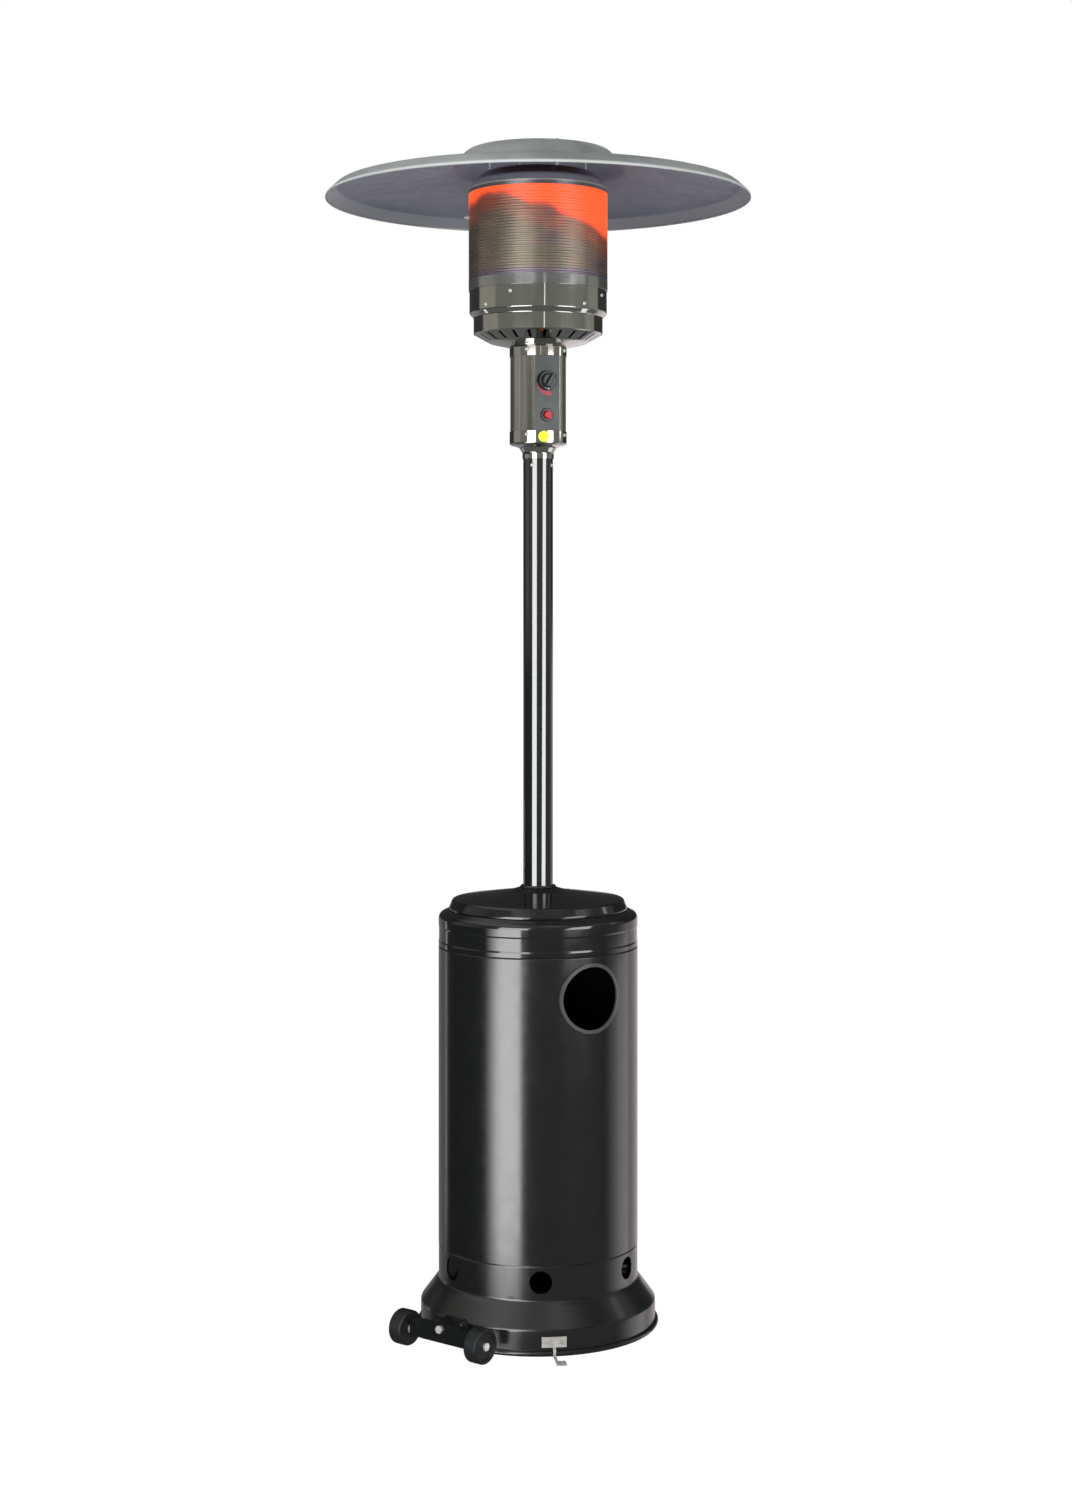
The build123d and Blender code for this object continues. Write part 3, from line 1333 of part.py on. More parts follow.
# Thermocouple from the valve to its tip beside the pilot
with BuildPart() as thermocouple:
    thermocouple_points = [
        (port_face, thermocouple_y, thermocouple_port_height),
        (service_turn, thermocouple_y, thermocouple_port_height),
        (service_turn, thermocouple_y, mixer_low),
        (pilot_x, thermocouple_y, service_turn_height),
        (pilot_x, thermocouple_y, pan_high),
    ]
    add(tube_along(thermocouple_points, [6, 14, 14], service_radius, 0))
    with Locations((pilot_x, thermocouple_y, pan_high - thermocouple_sink)):
        Cylinder(electrode_radius, thermocouple_length, align=standing)
thermocouple.part.label = "thermocouple"
export_step(thermocouple.part, "parts/thermocouple.step")

# Ignition electrode: a ceramic rod with a bent wire that points at the pilot
with BuildPart() as ignition_electrode:
    with Locations((electrode_x, electrode_y, electrode_low)):
        Cylinder(electrode_radius, electrode_length, align=standing)
    electrode_top = electrode_low + electrode_length
    wire_points = [
        (electrode_x, electrode_y, electrode_top - 1),
        (electrode_x, electrode_y, electrode_top + electrode_wire_reach - 2),
        (electrode_x, electrode_y + electrode_wire_reach, electrode_top + electrode_wire_reach),
    ]
    add(tube_along(wire_points, [2], electrode_wire_radius, 0))
ignition_electrode.part.label = "ignition_electrode"
export_step(ignition_electrode.part, "parts/ignition_electrode.step")

# Burner dish: a shallow bowl with radial air slots, its lip inside the band
with BuildPart() as burner_dish:
    dish_points = [
        (collar_flange_radius, dish_low),
        (dish_flat_radius, dish_low),
        (dish_knee_radius, dish_knee_height),
        (lip_radius, band_low),
        (lip_radius, band_low + dish_lip_height),
    ]
    revolve(sheet_section(dish_points, [12, 20, 4], head_sheet), axis=Axis.Z)
    with BuildSketch(Plane.XY.offset(dish_knee_height - 2)):
        with PolarLocations(dish_slot_circle, dish_slot_count):
            SlotOverall(dish_slot_length, dish_slot_width)
    extrude(amount=band_low - dish_knee_height + 3, mode=Mode.SUBTRACT)
burner_dish.part.label = "burner_dish"
export_step(burner_dish.part, "parts/burner_dish.step")

# Burner band: two diameters with a step between them
with BuildPart() as burner_band:
    band_points = [
        (band_low_radius, band_low),
        (band_low_radius, band_step_low),
        (band_radius, band_step_high),
        (band_radius, band_high),
    ]
    revolve(sheet_section(band_points, [3, 3], head_sheet), axis=Axis.Z)
    with Locations(*pan_screw_places):
        Cylinder(m4_radius + hole_gap, 12, mode=Mode.SUBTRACT)
burner_band.part.label = "burner_band"
export_step(burner_band.part, "parts/burner_band.step")

# Band screws: two rows of four
with BuildPart() as band_screws:
    with Locations(*pan_screw_places):
        add(pan_screw(2 * head_sheet + seat_gap + screw_tail))
band_screws.part.label = "band_screws"
export_step(band_screws.part, "parts/band_screws.step")

# Emitter screen: a rolled cylinder, plain here where the real sheet is finely perforated
seam_place = wall_plane(seam_bolt_azimuth, screen_radius, seam_bolt_height)
with BuildPart() as emitter_screen:
    with BuildSketch(Plane.XY.offset(screen_low)):
        Circle(screen_radius)
        Circle(screen_inner_radius, mode=Mode.SUBTRACT)
    extrude(amount=screen_high - screen_low)
    with Locations(seam_place):
        Cylinder(m4_radius + hole_gap, 10, mode=Mode.SUBTRACT)
emitter_screen.part.label = "emitter_screen"
export_step(emitter_screen.part, "parts/emitter_screen.step")

# Seam bolt: it closes the screen
with BuildPart() as screen_seam_bolt:
    with Locations(seam_place.offset(-head_sheet - hole_gap) * Rot(180, 0, 0)):
        add(hex_bolt(m4_radius, m4_nut_radius, m4_hex_height, head_sheet + seam_bolt_tail))
    with Locations(seam_place):
        add(hex_nut(m4_radius, m4_nut_radius, m4_nut_height))
screen_seam_bolt.part.label = "screen_seam_bolt"
export_step(screen_seam_bolt.part, "parts/screen_seam_bolt.step")

# Emitter top cap: a domed lid on the screen's edge with a spigot inside it
with BuildPart() as emitter_top_cap:
    cap_points = [
        (screen_radius, screen_high),
        (screen_radius, screen_high + cap_edge),
        (cap_shoulder_radius, cap_shoulder_height),
        (cap_top_radius, cap_top),
        (0, cap_top),
    ]
    revolve(sheet_section(cap_points, [5, 14, 20], head_sheet), axis=Axis.Z)
    with BuildSketch(Plane.XY.offset(screen_high - cap_spigot)):
        Circle(screen_inner_radius - seat_gap)
        Circle(screen_inner_radius - seat_gap - head_sheet, mode=Mode.SUBTRACT)
    extrude(amount=cap_spigot + cap_edge + 1)
    with BuildSketch(Plane.XY.offset(cap_shoulder_height)):
        with PolarLocations(stud_circle, stud_count):
            Circle(stud_radius + hole_gap)
    extrude(amount=30, mode=Mode.SUBTRACT)
emitter_top_cap.part.label = "emitter_top_cap"
export_step(emitter_top_cap.part, "parts/emitter_top_cap.step")

# Reflector studs
with BuildPart() as reflector_studs:
    with BuildSketch(Plane.XY.offset(stud_low)):
        with PolarLocations(stud_circle, stud_count):
            Circle(stud_radius)
    extrude(amount=stud_high - stud_low)
reflector_studs.part.label = "reflector_studs"
export_step(reflector_studs.part, "parts/reflector_studs.step")

# Stud nuts: under and over the cap, then under and over the crown
with BuildPart() as stud_nuts:
    crown_under = crown_top - reflector_sheet
    nut_lows = (
        stud_low + thread_end,
        cap_top,
        crown_under - stud_nut_height - stud_nut_gap,
        crown_top + stud_nut_gap,
    )
    for nut_low in nut_lows:
        with BuildSketch(Plane.XY.offset(nut_low)):
            with PolarLocations(stud_circle, stud_count):
                RegularPolygon(stud_nut_radius, 6)
                Circle(stud_radius, mode=Mode.SUBTRACT)
        extrude(amount=stud_nut_height)
stud_nuts.part.label = "stud_nuts"
export_step(stud_nuts.part, "parts/stud_nuts.step")

# Reflector
with BuildPart() as reflector:
    reflector_points = [
        (reflector_radius, reflector_low),
        (reflector_radius, reflector_low + reflector_lip),
        (reflector_knee_radius, reflector_knee_height),
        (crown_foot_radius, crown_foot_height),
        (crown_radius, crown_top),
        (0, crown_top),
    ]
    revolve(sheet_section(reflector_points, [1.5, 5, 8, 14], reflector_sheet), axis=Axis.Z)
    with BuildSketch(Plane.XY.offset(crown_top - 4)):
        with PolarLocations(stud_circle, stud_count):
            Circle(stud_radius + hole_gap)
    extrude(amount=8, mode=Mode.SUBTRACT)
reflector.part.label = "reflector"
export_step(reflector.part, "parts/reflector.step")
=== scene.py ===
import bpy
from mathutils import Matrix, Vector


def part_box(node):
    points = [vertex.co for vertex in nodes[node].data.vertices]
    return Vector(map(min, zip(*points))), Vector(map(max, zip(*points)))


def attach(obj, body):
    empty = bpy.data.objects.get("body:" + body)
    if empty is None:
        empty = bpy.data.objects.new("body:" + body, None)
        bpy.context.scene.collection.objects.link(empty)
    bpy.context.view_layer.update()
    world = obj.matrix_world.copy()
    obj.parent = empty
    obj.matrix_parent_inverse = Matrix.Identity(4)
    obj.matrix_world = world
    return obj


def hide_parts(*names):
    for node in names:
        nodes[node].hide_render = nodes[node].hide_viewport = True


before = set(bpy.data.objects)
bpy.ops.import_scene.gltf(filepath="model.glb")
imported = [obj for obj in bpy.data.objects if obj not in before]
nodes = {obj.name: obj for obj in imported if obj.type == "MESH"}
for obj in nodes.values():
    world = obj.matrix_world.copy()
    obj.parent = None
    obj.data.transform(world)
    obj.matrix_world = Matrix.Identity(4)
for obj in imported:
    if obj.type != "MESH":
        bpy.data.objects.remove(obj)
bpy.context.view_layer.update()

import math

import bmesh
import bpy
from mathutils import Matrix, Vector

scene = bpy.context.scene
mm = 0.001
fullTurn = 2 * math.pi

# Camera: level, looking at the post from its left; lengths in metres, angles in degrees from the front
viewFrom = dict(
    azimuth=-21.5, distance=4.6, height=1.378,
    lens=57.62, sensor=36.0, shiftX=-0.0014, shiftY=-0.0998,
)


def around(azimuth, radius, height):
    angle = math.radians(azimuth)
    return Vector((radius * math.sin(angle), -radius * math.cos(angle), height))


def addCamera():
    lens = bpy.data.cameras.new("photoCamera")
    lens.lens = viewFrom["lens"]
    lens.sensor_width = viewFrom["sensor"]
    lens.shift_x = viewFrom["shiftX"]
    lens.shift_y = viewFrom["shiftY"]
    camera = bpy.data.objects.new("photoCamera", lens)
    scene.collection.objects.link(camera)
    camera.location = around(viewFrom["azimuth"], viewFrom["distance"], viewFrom["height"])
    camera.rotation_euler = (math.radians(90), 0, math.radians(viewFrom["azimuth"]))
    scene.camera = camera


addCamera()
print("camera placed")


# Shader node helpers: a value may be a number, a colour or another node's output
def feed(tree, socket, value):
    if isinstance(value, bpy.types.NodeSocket):
        tree.links.new(value, socket)
    elif socket.type == "RGBA":
        socket.default_value = (*value, 1)
    else:
        socket.default_value = value


def addNode(tree, kind, settings=None, **inputs):
    node = tree.nodes.new(kind)
    for key, value in (settings or {}).items():
        setattr(node, key, value)
    for key, value in inputs.items():
        numbered = key[0] == "i" and key[1:].isdigit()  # i0, i1: sockets by their number
        feed(tree, node.inputs[int(key[1:]) if numbered else key], value)
    return node


def maths(tree, operation, a, b=0.0, c=0.0):
    return addNode(tree, "ShaderNodeMath", dict(operation=operation), i0=a, i1=b, i2=c).outputs[0]


def hypotenuse(tree, a, b):
    return maths(tree, "SQRT", maths(tree, "MULTIPLY_ADD", a, a, maths(tree, "MULTIPLY", b, b)))


def smooth(tree, value, low, high, toLow=0.0, toHigh=1.0):
    limits = {"From Min": low, "From Max": high, "To Min": toLow, "To Max": toHigh}
    settings = dict(interpolation_type="SMOOTHSTEP")
    return addNode(tree, "ShaderNodeMapRange", settings, Value=value, **limits).outputs["Result"]


def ramp(tree, value, stops, easing="LINEAR"):
    node = addNode(tree, "ShaderNodeValToRGB", Fac=value)
    node.color_ramp.interpolation = easing
    elements = node.color_ramp.elements
    while len(elements) < len(stops):
        elements.new(1.0)
    for element, (position, colour) in zip(elements, stops):
        element.position = position
    for element, (position, colour) in zip(elements, stops):
        element.color = (*colour, 1) if len(colour) == 3 else (colour[0],) * 3 + (1,)  # (0.3,) is a grey
    return node.outputs["Color"]


def mixColour(tree, factor, first, second):
    return addNode(tree, "ShaderNodeMix", dict(data_type="RGBA"), i0=factor, i6=first, i7=second).outputs[2]


def places(tree):
    return addNode(tree, "ShaderNodeTexCoord").outputs["Object"]


def parts(tree, vector):
    return addNode(tree, "ShaderNodeSeparateXYZ", Vector=vector).outputs


def facing(tree):
    return parts(tree, addNode(tree, "ShaderNodeNewGeometry").outputs["True Normal"])


def noise(tree, scale, detail=3.0, stretch=(1, 1, 1)):
    mapping = addNode(tree, "ShaderNodeMapping", Vector=places(tree), Scale=stretch)
    cloud = addNode(tree, "ShaderNodeTexNoise", Vector=mapping.outputs[0], Scale=scale, Detail=detail)
    return cloud.outputs["Fac"]


def bearing(degrees):
    return degrees / 360 + 0.5  # 0 to 1 once round, 0.5 is where the camera stands


def bearingOf(tree, vector):
    x, y, z = parts(tree, vector)
    turned = maths(tree, "ARCTAN2", x, maths(tree, "MULTIPLY", y, -1.0))
    turned = maths(tree, "SUBTRACT", turned, math.radians(viewFrom["azimuth"]))
    turned = maths(tree, "WRAP", turned, math.pi, -math.pi)
    return maths(tree, "MULTIPLY_ADD", turned, 1 / fullTurn, 0.5)


def roundRamp(tree, turn, stops, easing="LINEAR"):
    return ramp(tree, turn, [(bearing(degrees), colour) for degrees, colour in stops], easing)


# Studio: white for the camera; what shines sees a grey room that changes with the bearing in degrees
studio = dict(
    ambient=(0.36, 0.36, 0.37),
    low=[  # below the horizon
        (-180, (0.3,)), (-134, (0.24,)), (-128, (0.04,)), (-112, (0.03,)), (-64, (0.05, 0.07, 0.06)),
        (-14, (0.14, 0.17, 0.14)), (20, (0.17, 0.165, 0.17)), (70, (0.18, 0.17, 0.18)), (80, (0.16,)),
        (104, (0.14,)), (122, (0.6, 0.54, 0.59)), (180, (0.9, 0.84, 0.88)),
    ],
    high=[  # above the horizon
        (-180, (0.05,)), (-118, (0.05,)), (-113, (0.36, 0.35, 0.32)), (-78, (0.36, 0.35, 0.32)),
        (-74, (0.22, 0.225, 0.21)), (72, (0.24, 0.245, 0.23)), (90, (0.2, 0.2, 0.19)),
        (93, (0.3, 0.3, 0.28)), (117, (0.3, 0.3, 0.28)), (121, (0.05,)), (180, (0.05,)),
    ],
    above=[
        (-180, (0.3,)), (-100, (0.9,)), (-52, (1.15,)), (-34, (0.95,)), (-23, (0.62,)), (-8, (0.45,)),
        (6, (0.45,)), (18, (0.65,)), (31, (0.9,)), (46, (0.5,)), (61, (0.2,)), (90, (0.1,)), (180, (0.12,)),
    ],
    below=(0.15, 0.155, 0.16),
    horizon=(-2.5, 0.5), aboveFrom=(32.0, 50.0), belowFrom=(-22.0, -32.0),  # heights of the fades, degrees
)


def buildWorld():
    world = bpy.data.worlds.new("studio")
    scene.world = world
    world.use_nodes = True
    tree = world.node_tree
    direction = addNode(tree, "ShaderNodeTexCoord").outputs["Generated"]
    turn = bearingOf(tree, direction)
    rise = maths(tree, "MULTIPLY", maths(tree, "ARCSINE", parts(tree, direction)[2]), 180 / math.pi)
    low = roundRamp(tree, turn, studio["low"])
    high = roundRamp(tree, turn, studio["high"])
    above = roundRamp(tree, turn, studio["above"])
    room = mixColour(tree, smooth(tree, rise, *studio["horizon"]), low, high)
    room = mixColour(tree, smooth(tree, rise, *studio["aboveFrom"]), room, above)
    room = mixColour(tree, smooth(tree, rise, *studio["belowFrom"]), room, studio["below"])
    path = addNode(tree, "ShaderNodeLightPath").outputs
    seen = mixColour(tree, path["Is Glossy Ray"], studio["ambient"], room)
    seen = mixColour(tree, path["Is Camera Ray"], seen, (1.0, 1.0, 1.0))
    tree.links.new(seen, tree.nodes["Background"].inputs["Color"])


buildWorld()

# Cards that only reflections see: heights in metres, and the bearings of the corners in degrees, as
# bottom left, bottom right, top left, top right; fade is how far the left edge takes to come up
cards = dict(
    leftSoftboxLow=dict(low=-0.65, high=0.44, corners=(-62, -19, -60, -19), strength=9.0, fade=22),
    leftSoftbox=dict(low=0.44, high=2.15, corners=(-47, -12, -43, -9), strength=7.2),
    rightSoftbox=dict(low=0.47, high=2.15, corners=(28, 58, 40, 65), strength=7.2),
    thinStrip=dict(low=2.1, high=2.75, corners=(10.1, 11.2, 10.1, 11.2), strength=2.2),
    leftEdgeStrip=dict(low=-0.6, high=0.75, corners=(-131, -128, -131, -128), strength=1.6),
    meshWall=dict(low=2.38, high=3.0, corners=(-100, 94, -100, 94), strength=0.52, distance=3.1),
    meshPanelLeft=dict(low=2.38, high=2.9, corners=(-37, -4, -37, -4), strength=0.95),
    meshPanelRight=dict(low=2.38, high=2.9, corners=(53, 82, 53, 82), strength=1.05),
    rightEdgeGlow=dict(low=-1.3, high=0.36, corners=(76, 124, 76, 124), strength=1.35, fade=34),
    flangeStripLeft=dict(low=1.88, high=2.17, corners=(-17, -13, -17, -13), strength=2.4, distance=2.9),
    flangeStripRight=dict(low=1.88, high=2.17, corners=(97, 103, 97, 103), strength=3.0, distance=2.9),
)
# Nodes that a card doesn't light: the brushed housing blurs the softboxes to an even grey, and the
# sloping skirt stays dark on its right
unlit = dict(
    control_housing=["leftSoftboxLow", "leftSoftbox", "rightSoftbox"],
    base_skirt=["rightSoftbox", "meshPanelRight"],
)
fadeFrom = 0.04  # share of its strength that a fading card starts with

lamps = dict(
    keyLamp=dict(azimuth=-42, distance=3.4, height=2.3, aim=1.2, size=1.6, energy=62),
    fillLamp=dict(azimuth=46, distance=3.4, height=2.0, aim=1.2, size=1.6, energy=48),
    lowLamp=dict(azimuth=-5, distance=3.6, height=0.7, aim=0.8, size=1.4, energy=30),
)
floor = dict(half=12.0, colour=(0.16, 0.16, 0.16), rough=0.9, glow=0.95)


def addSheet(name, corners):
    quad = bmesh.new()
    quad.faces.new([quad.verts.new(corner) for corner in corners])
    mesh = bpy.data.meshes.new(name)
    quad.to_mesh(mesh)
    quad.free()
    sheet = bpy.data.objects.new(name, mesh)
    scene.collection.objects.link(sheet)
    material = bpy.data.materials.new(name)
    material.use_nodes = True
    mesh.materials.append(material)
    return sheet, material.node_tree


def addCard(name, low, high, corners, strength, distance=3.0, fade=0.0):
    bottomLeft, bottomRight, topLeft, topRight = [viewFrom["azimuth"] + corner for corner in corners]
    card, tree = addSheet(name, [
        around(bottomLeft, distance, low), around(bottomRight, distance, low),
        around(topRight, distance, high), around(topLeft, distance, high),
    ])
    tree.nodes.remove(tree.nodes["Principled BSDF"])
    lamp = addNode(tree, "ShaderNodeEmission", Strength=strength)
    if fade:
        edge = corners[0]
        turn = bearingOf(tree, places(tree))
        lit = smooth(tree, turn, bearing(edge), bearing(edge + fade), fadeFrom * strength, strength)
        feed(tree, lamp.inputs["Strength"], lit)
    tree.links.new(lamp.outputs[0], tree.nodes["Material Output"].inputs["Surface"])
    card.visible_camera = False
    card.visible_diffuse = False
    card.visible_transmission = False
    card.visible_shadow = False
    return card


def keepUnlit(card, node):
    if not card.light_linking.receiver_collection:
        card.light_linking.receiver_collection = bpy.data.collections.new(card.name + "Receivers")
    receivers = card.light_linking.receiver_collection
    receivers.objects.link(nodes[node])
    receivers.collection_objects[-1].light_linking.link_state = "EXCLUDE"


def addLamp(name, azimuth, distance, height, aim, size, energy):
    lamp = bpy.data.lights.new(name, "AREA")
    lamp.energy = energy
    lamp.size = size
    holder = bpy.data.objects.new(name, lamp)
    scene.collection.objects.link(holder)
    holder.location = around(viewFrom["azimuth"] + azimuth, distance, height)
    holder.rotation_euler = (holder.location - Vector((0, 0, aim))).to_track_quat("Z", "Y").to_euler()
    holder.visible_glossy = False


def addFloor():
    half = floor["half"]
    corners = [(-half, -half, 0), (half, -half, 0), (half, half, 0), (-half, half, 0)]
    sheet, tree = addSheet("floor", corners)
    shader = tree.nodes["Principled BSDF"]
    feed(tree, shader.inputs["Base Color"], floor["colour"])
    feed(tree, shader.inputs["Roughness"], floor["rough"])
    feed(tree, shader.inputs["Specular IOR Level"], 0.0)
    feed(tree, shader.inputs["Emission Color"], (1, 1, 1))
    feed(tree, shader.inputs["Emission Strength"], floor["glow"])
    sheet.visible_glossy = False


addFloor()
placed = {name: addCard(name, **card) for name, card in cards.items()}
for nodeName, cardNames in unlit.items():
    for cardName in cardNames:
        keepUnlit(placed[cardName], nodeName)
for name, lamp in lamps.items():
    addLamp(name, **lamp)
print("studio built")


# Finishes: colour and other are the two ends of the slow patches, rough runs from rubbed to dull, and
# bump is the grain's scale and strength
grain = dict(detail=4.0, spread=(0.3, 0.7), rubScale=35, rubDetail=3.0, depth=0.0006)
looks = dict(
    enamelGloss=dict(
        colour=(0.0065, 0.0072, 0.0068), other=(0.008, 0.0085, 0.0083),
        rough=(0.09, 0.13), bump=(150, 0.004), ior=1.58,
    ),
    skirtEnamel=dict(
        colour=(0.0068, 0.0075, 0.007), other=(0.0082, 0.0088, 0.0086),
        rough=(0.2, 0.25), bump=(150, 0.006), ior=1.6,
    ),
    enamelSatin=dict(
        colour=(0.006, 0.0067, 0.0063), other=(0.0074, 0.0076, 0.0077),
        rough=(0.17, 0.21), bump=(150, 0.006), ior=1.6,
    ),
    postGloss=dict(
        colour=(0.0055, 0.0075, 0.007), other=(0.0075, 0.0095, 0.009),
        rough=(0.05, 0.07), bump=(140, 0.001), ior=2.0,
    ),
    rawSteel=dict(
        colour=(0.1, 0.095, 0.09), other=(0.16, 0.155, 0.15),
        rough=(0.3, 0.45), bump=(600, 0.06), metallic=1.0,
    ),
    zinc=dict(
        colour=(0.78, 0.78, 0.76), other=(0.88, 0.88, 0.86),
        rough=(0.3, 0.4), bump=(500, 0.02), metallic=0.7,
    ),
    galvanised=dict(
        colour=(0.3, 0.29, 0.265), other=(0.42, 0.41, 0.38),
        rough=(0.5, 0.62), bump=(350, 0.12), metallic=0.25, patch=120,
    ),
    polished=dict(
        colour=(0.5, 0.49, 0.455), other=(0.57, 0.56, 0.52),
        rough=(0.055, 0.07), bump=(60, 0.0004), metallic=1.0, stretch=(1, 1, 0.25),
    ),
    brushed=dict(
        colour=(0.4, 0.39, 0.355), other=(0.56, 0.54, 0.49),
        rough=(0.16, 0.24), bump=(420, 0.05), metallic=0.92, stretch=(1, 1, 0.02), patch=160,
    ),
    panel=dict(
        colour=(0.0125, 0.0165, 0.017), other=(0.0175, 0.022, 0.0225),
        rough=(0.3, 0.38), bump=(700, 0.01), patch=30,
    ),
    knobPlastic=dict(
        colour=(0.01, 0.0125, 0.013), other=(0.014, 0.016, 0.017),
        rough=(0.2, 0.3), bump=(900, 0.02), ior=1.4,
    ),
    wheelPlastic=dict(
        colour=(0.0045, 0.0055, 0.0065), other=(0.007, 0.008, 0.0095),
        rough=(0.42, 0.52), bump=(900, 0.03), ior=1.35,
    ),
    bushPlastic=dict(
        colour=(0.014, 0.015, 0.015), other=(0.02, 0.021, 0.021),
        rough=(0.35, 0.45), bump=(700, 0.05),
    ),
    redPlastic=dict(
        colour=(0.29, 0.003, 0.012), other=(0.34, 0.004, 0.016),
        rough=(0.26, 0.32), bump=(500, 0.01), ior=1.35,
    ),
    yellowLabel=dict(
        colour=(0.72, 0.74, 0.02), other=(0.8, 0.8, 0.04),
        rough=(0.3, 0.38), bump=(300, 0.02), patch=90,
    ),
    castAlloy=dict(
        colour=(0.4, 0.4, 0.4), other=(0.52, 0.52, 0.52),
        rough=(0.45, 0.6), bump=(450, 0.3), metallic=0.9,
    ),
    brass=dict(
        colour=(0.66, 0.47, 0.2), other=(0.76, 0.58, 0.28),
        rough=(0.2, 0.32), bump=(400, 0.05), metallic=1.0,
    ),
    copper=dict(
        colour=(0.6, 0.3, 0.17), other=(0.7, 0.4, 0.25),
        rough=(0.24, 0.36), bump=(300, 0.05), metallic=1.0,
    ),
    ceramic=dict(
        colour=(0.72, 0.69, 0.62), other=(0.82, 0.8, 0.74),
        rough=(0.4, 0.5), bump=(400, 0.05),
    ),
    rubber=dict(
        colour=(0.02, 0.02, 0.02), other=(0.03, 0.03, 0.03),
        rough=(0.55, 0.7), bump=(600, 0.12),
    ),
    redPrint=dict(
        colour=(0.21, 0.006, 0.02), other=(0.26, 0.009, 0.026),
        rough=(0.36, 0.44), bump=(500, 0.03),
    ),
    whitePrint=dict(
        colour=(0.6, 0.6, 0.6), other=(0.7, 0.7, 0.7),
        rough=(0.36, 0.44), bump=(500, 0.03),
    ),
    hem=dict(
        colour=(0.34, 0.34, 0.335), other=(0.4, 0.4, 0.39),
        rough=(0.12, 0.18), bump=(60, 0.001), metallic=0.9, stretch=(1, 1, 0.25),
    ),
)


def newMaterial(name, look):
    stretch = look.get("stretch", (1, 1, 1))
    material = bpy.data.materials.new(name)
    material.use_nodes = True
    tree = material.node_tree
    shader = tree.nodes["Principled BSDF"]
    feed(tree, shader.inputs["Metallic"], look.get("metallic", 0.0))
    feed(tree, shader.inputs["IOR"], look.get("ior", 1.5))
    if "rough" in look:
        rub = noise(tree, grain["rubScale"], grain["rubDetail"], stretch)
        feed(tree, shader.inputs["Roughness"], smooth(tree, rub, *grain["spread"], *look["rough"]))
    scale, strength = look["bump"]
    texture = noise(tree, scale, grain["detail"], stretch)
    bump = addNode(tree, "ShaderNodeBump", Strength=strength, Distance=grain["depth"], Height=texture)
    feed(tree, shader.inputs["Normal"], bump.outputs[0])
    return material, tree, shader


def patchyColour(tree, look):
    patch = noise(tree, look.get("patch", 14), grain["detail"], look.get("stretch", (1, 1, 1)))
    return mixColour(tree, smooth(tree, patch, *grain["spread"]), look["colour"], look["other"])


def makeFinish(name, look):
    material, tree, shader = newMaterial(name, look)
    feed(tree, shader.inputs["Base Color"], patchyColour(tree, look))
    return material


# Sooted metal: polished outside, blackened where a face looks in at the flame; a face that looks down
# counts as outside, by the share named downward
soot = dict(colour=(0.03, 0.028, 0.026), edge=(-0.02, 0.01), downward=-0.05)


def outwardFace(tree):
    x, y, z = parts(tree, places(tree))
    faceX, faceY, faceZ = facing(tree)
    outward = maths(tree, "MULTIPLY_ADD", x, faceX, maths(tree, "MULTIPLY", y, faceY))
    return maths(tree, "MULTIPLY_ADD", faceZ, soot["downward"], outward)


def makeSootedFinish():
    material, tree, shader = newMaterial("sootedPolish", looks["polished"])
    outside = smooth(tree, outwardFace(tree), *soot["edge"])
    clean = patchyColour(tree, looks["polished"])
    feed(tree, shader.inputs["Base Color"], mixColour(tree, outside, soot["colour"], clean))
    return material


# Shroud shell: the bead round the hand hole is coloured lighter, partly worn paint and partly a painted
# highlight
handHole = dict(
    # worn: the lighter bead colour, worn paint together with a painted highlight
    azimuth=10.0, height=0.642, bead=(0.0655, 0.0645), front=(-0.1, -0.12), worn=(0.06, 0.057, 0.055),
)


def makeShellFinish():
    material, tree, shader = newMaterial("shellEnamel", looks["enamelSatin"])
    x, y, z = parts(tree, places(tree))
    turn = math.radians(handHole["azimuth"])
    across = maths(tree, "MULTIPLY_ADD", x, math.cos(turn), maths(tree, "MULTIPLY", y, math.sin(turn)))
    rise = maths(tree, "SUBTRACT", z, handHole["height"])
    near = smooth(tree, hypotenuse(tree, across, rise), *handHole["bead"])
    bead = maths(tree, "MULTIPLY", near, smooth(tree, y, *handHole["front"]))
    paint = patchyColour(tree, looks["enamelSatin"])
    # the bead is painted lighter: worn paint and a painted highlight
    feed(tree, shader.inputs["Base Color"], mixColour(tree, bead, paint, handHole["worn"]))
    return material


# Emitter cap: a painted reflection of the reflector's underside makes the polished shoulder bright and
# bluish; burnt dark red-brown on top by heat; heights in metres
capSheenAndHeatTint = dict(
    rough=(0.14, 0.2), bump=(120, 0.01), metallic=0.75, low=2.16, high=2.2,
    paintedSheenAndHeatTint=[
        # the first three stops are polished steel with a painted bluish reflection, the last two are heat
        # tint
        (0.0, (0.66, 0.65, 0.65)), (0.22, (0.62, 0.63, 0.68)), (0.36, (0.4, 0.38, 0.48)),
        (0.48, (0.1, 0.04, 0.05)), (1.0, (0.05, 0.016, 0.014)),
    ],
)


def makeCapFinish():
    material, tree, shader = newMaterial("capSheenAndHeatTint", capSheenAndHeatTint)
    share = smooth(tree, parts(tree, places(tree))[2], capSheenAndHeatTint["low"], capSheenAndHeatTint["high"])
    # painted reflection on the shoulder, heat tint on top
    feed(tree, shader.inputs["Base Color"], ramp(tree, share, capSheenAndHeatTint["paintedSheenAndHeatTint"]))
    return material


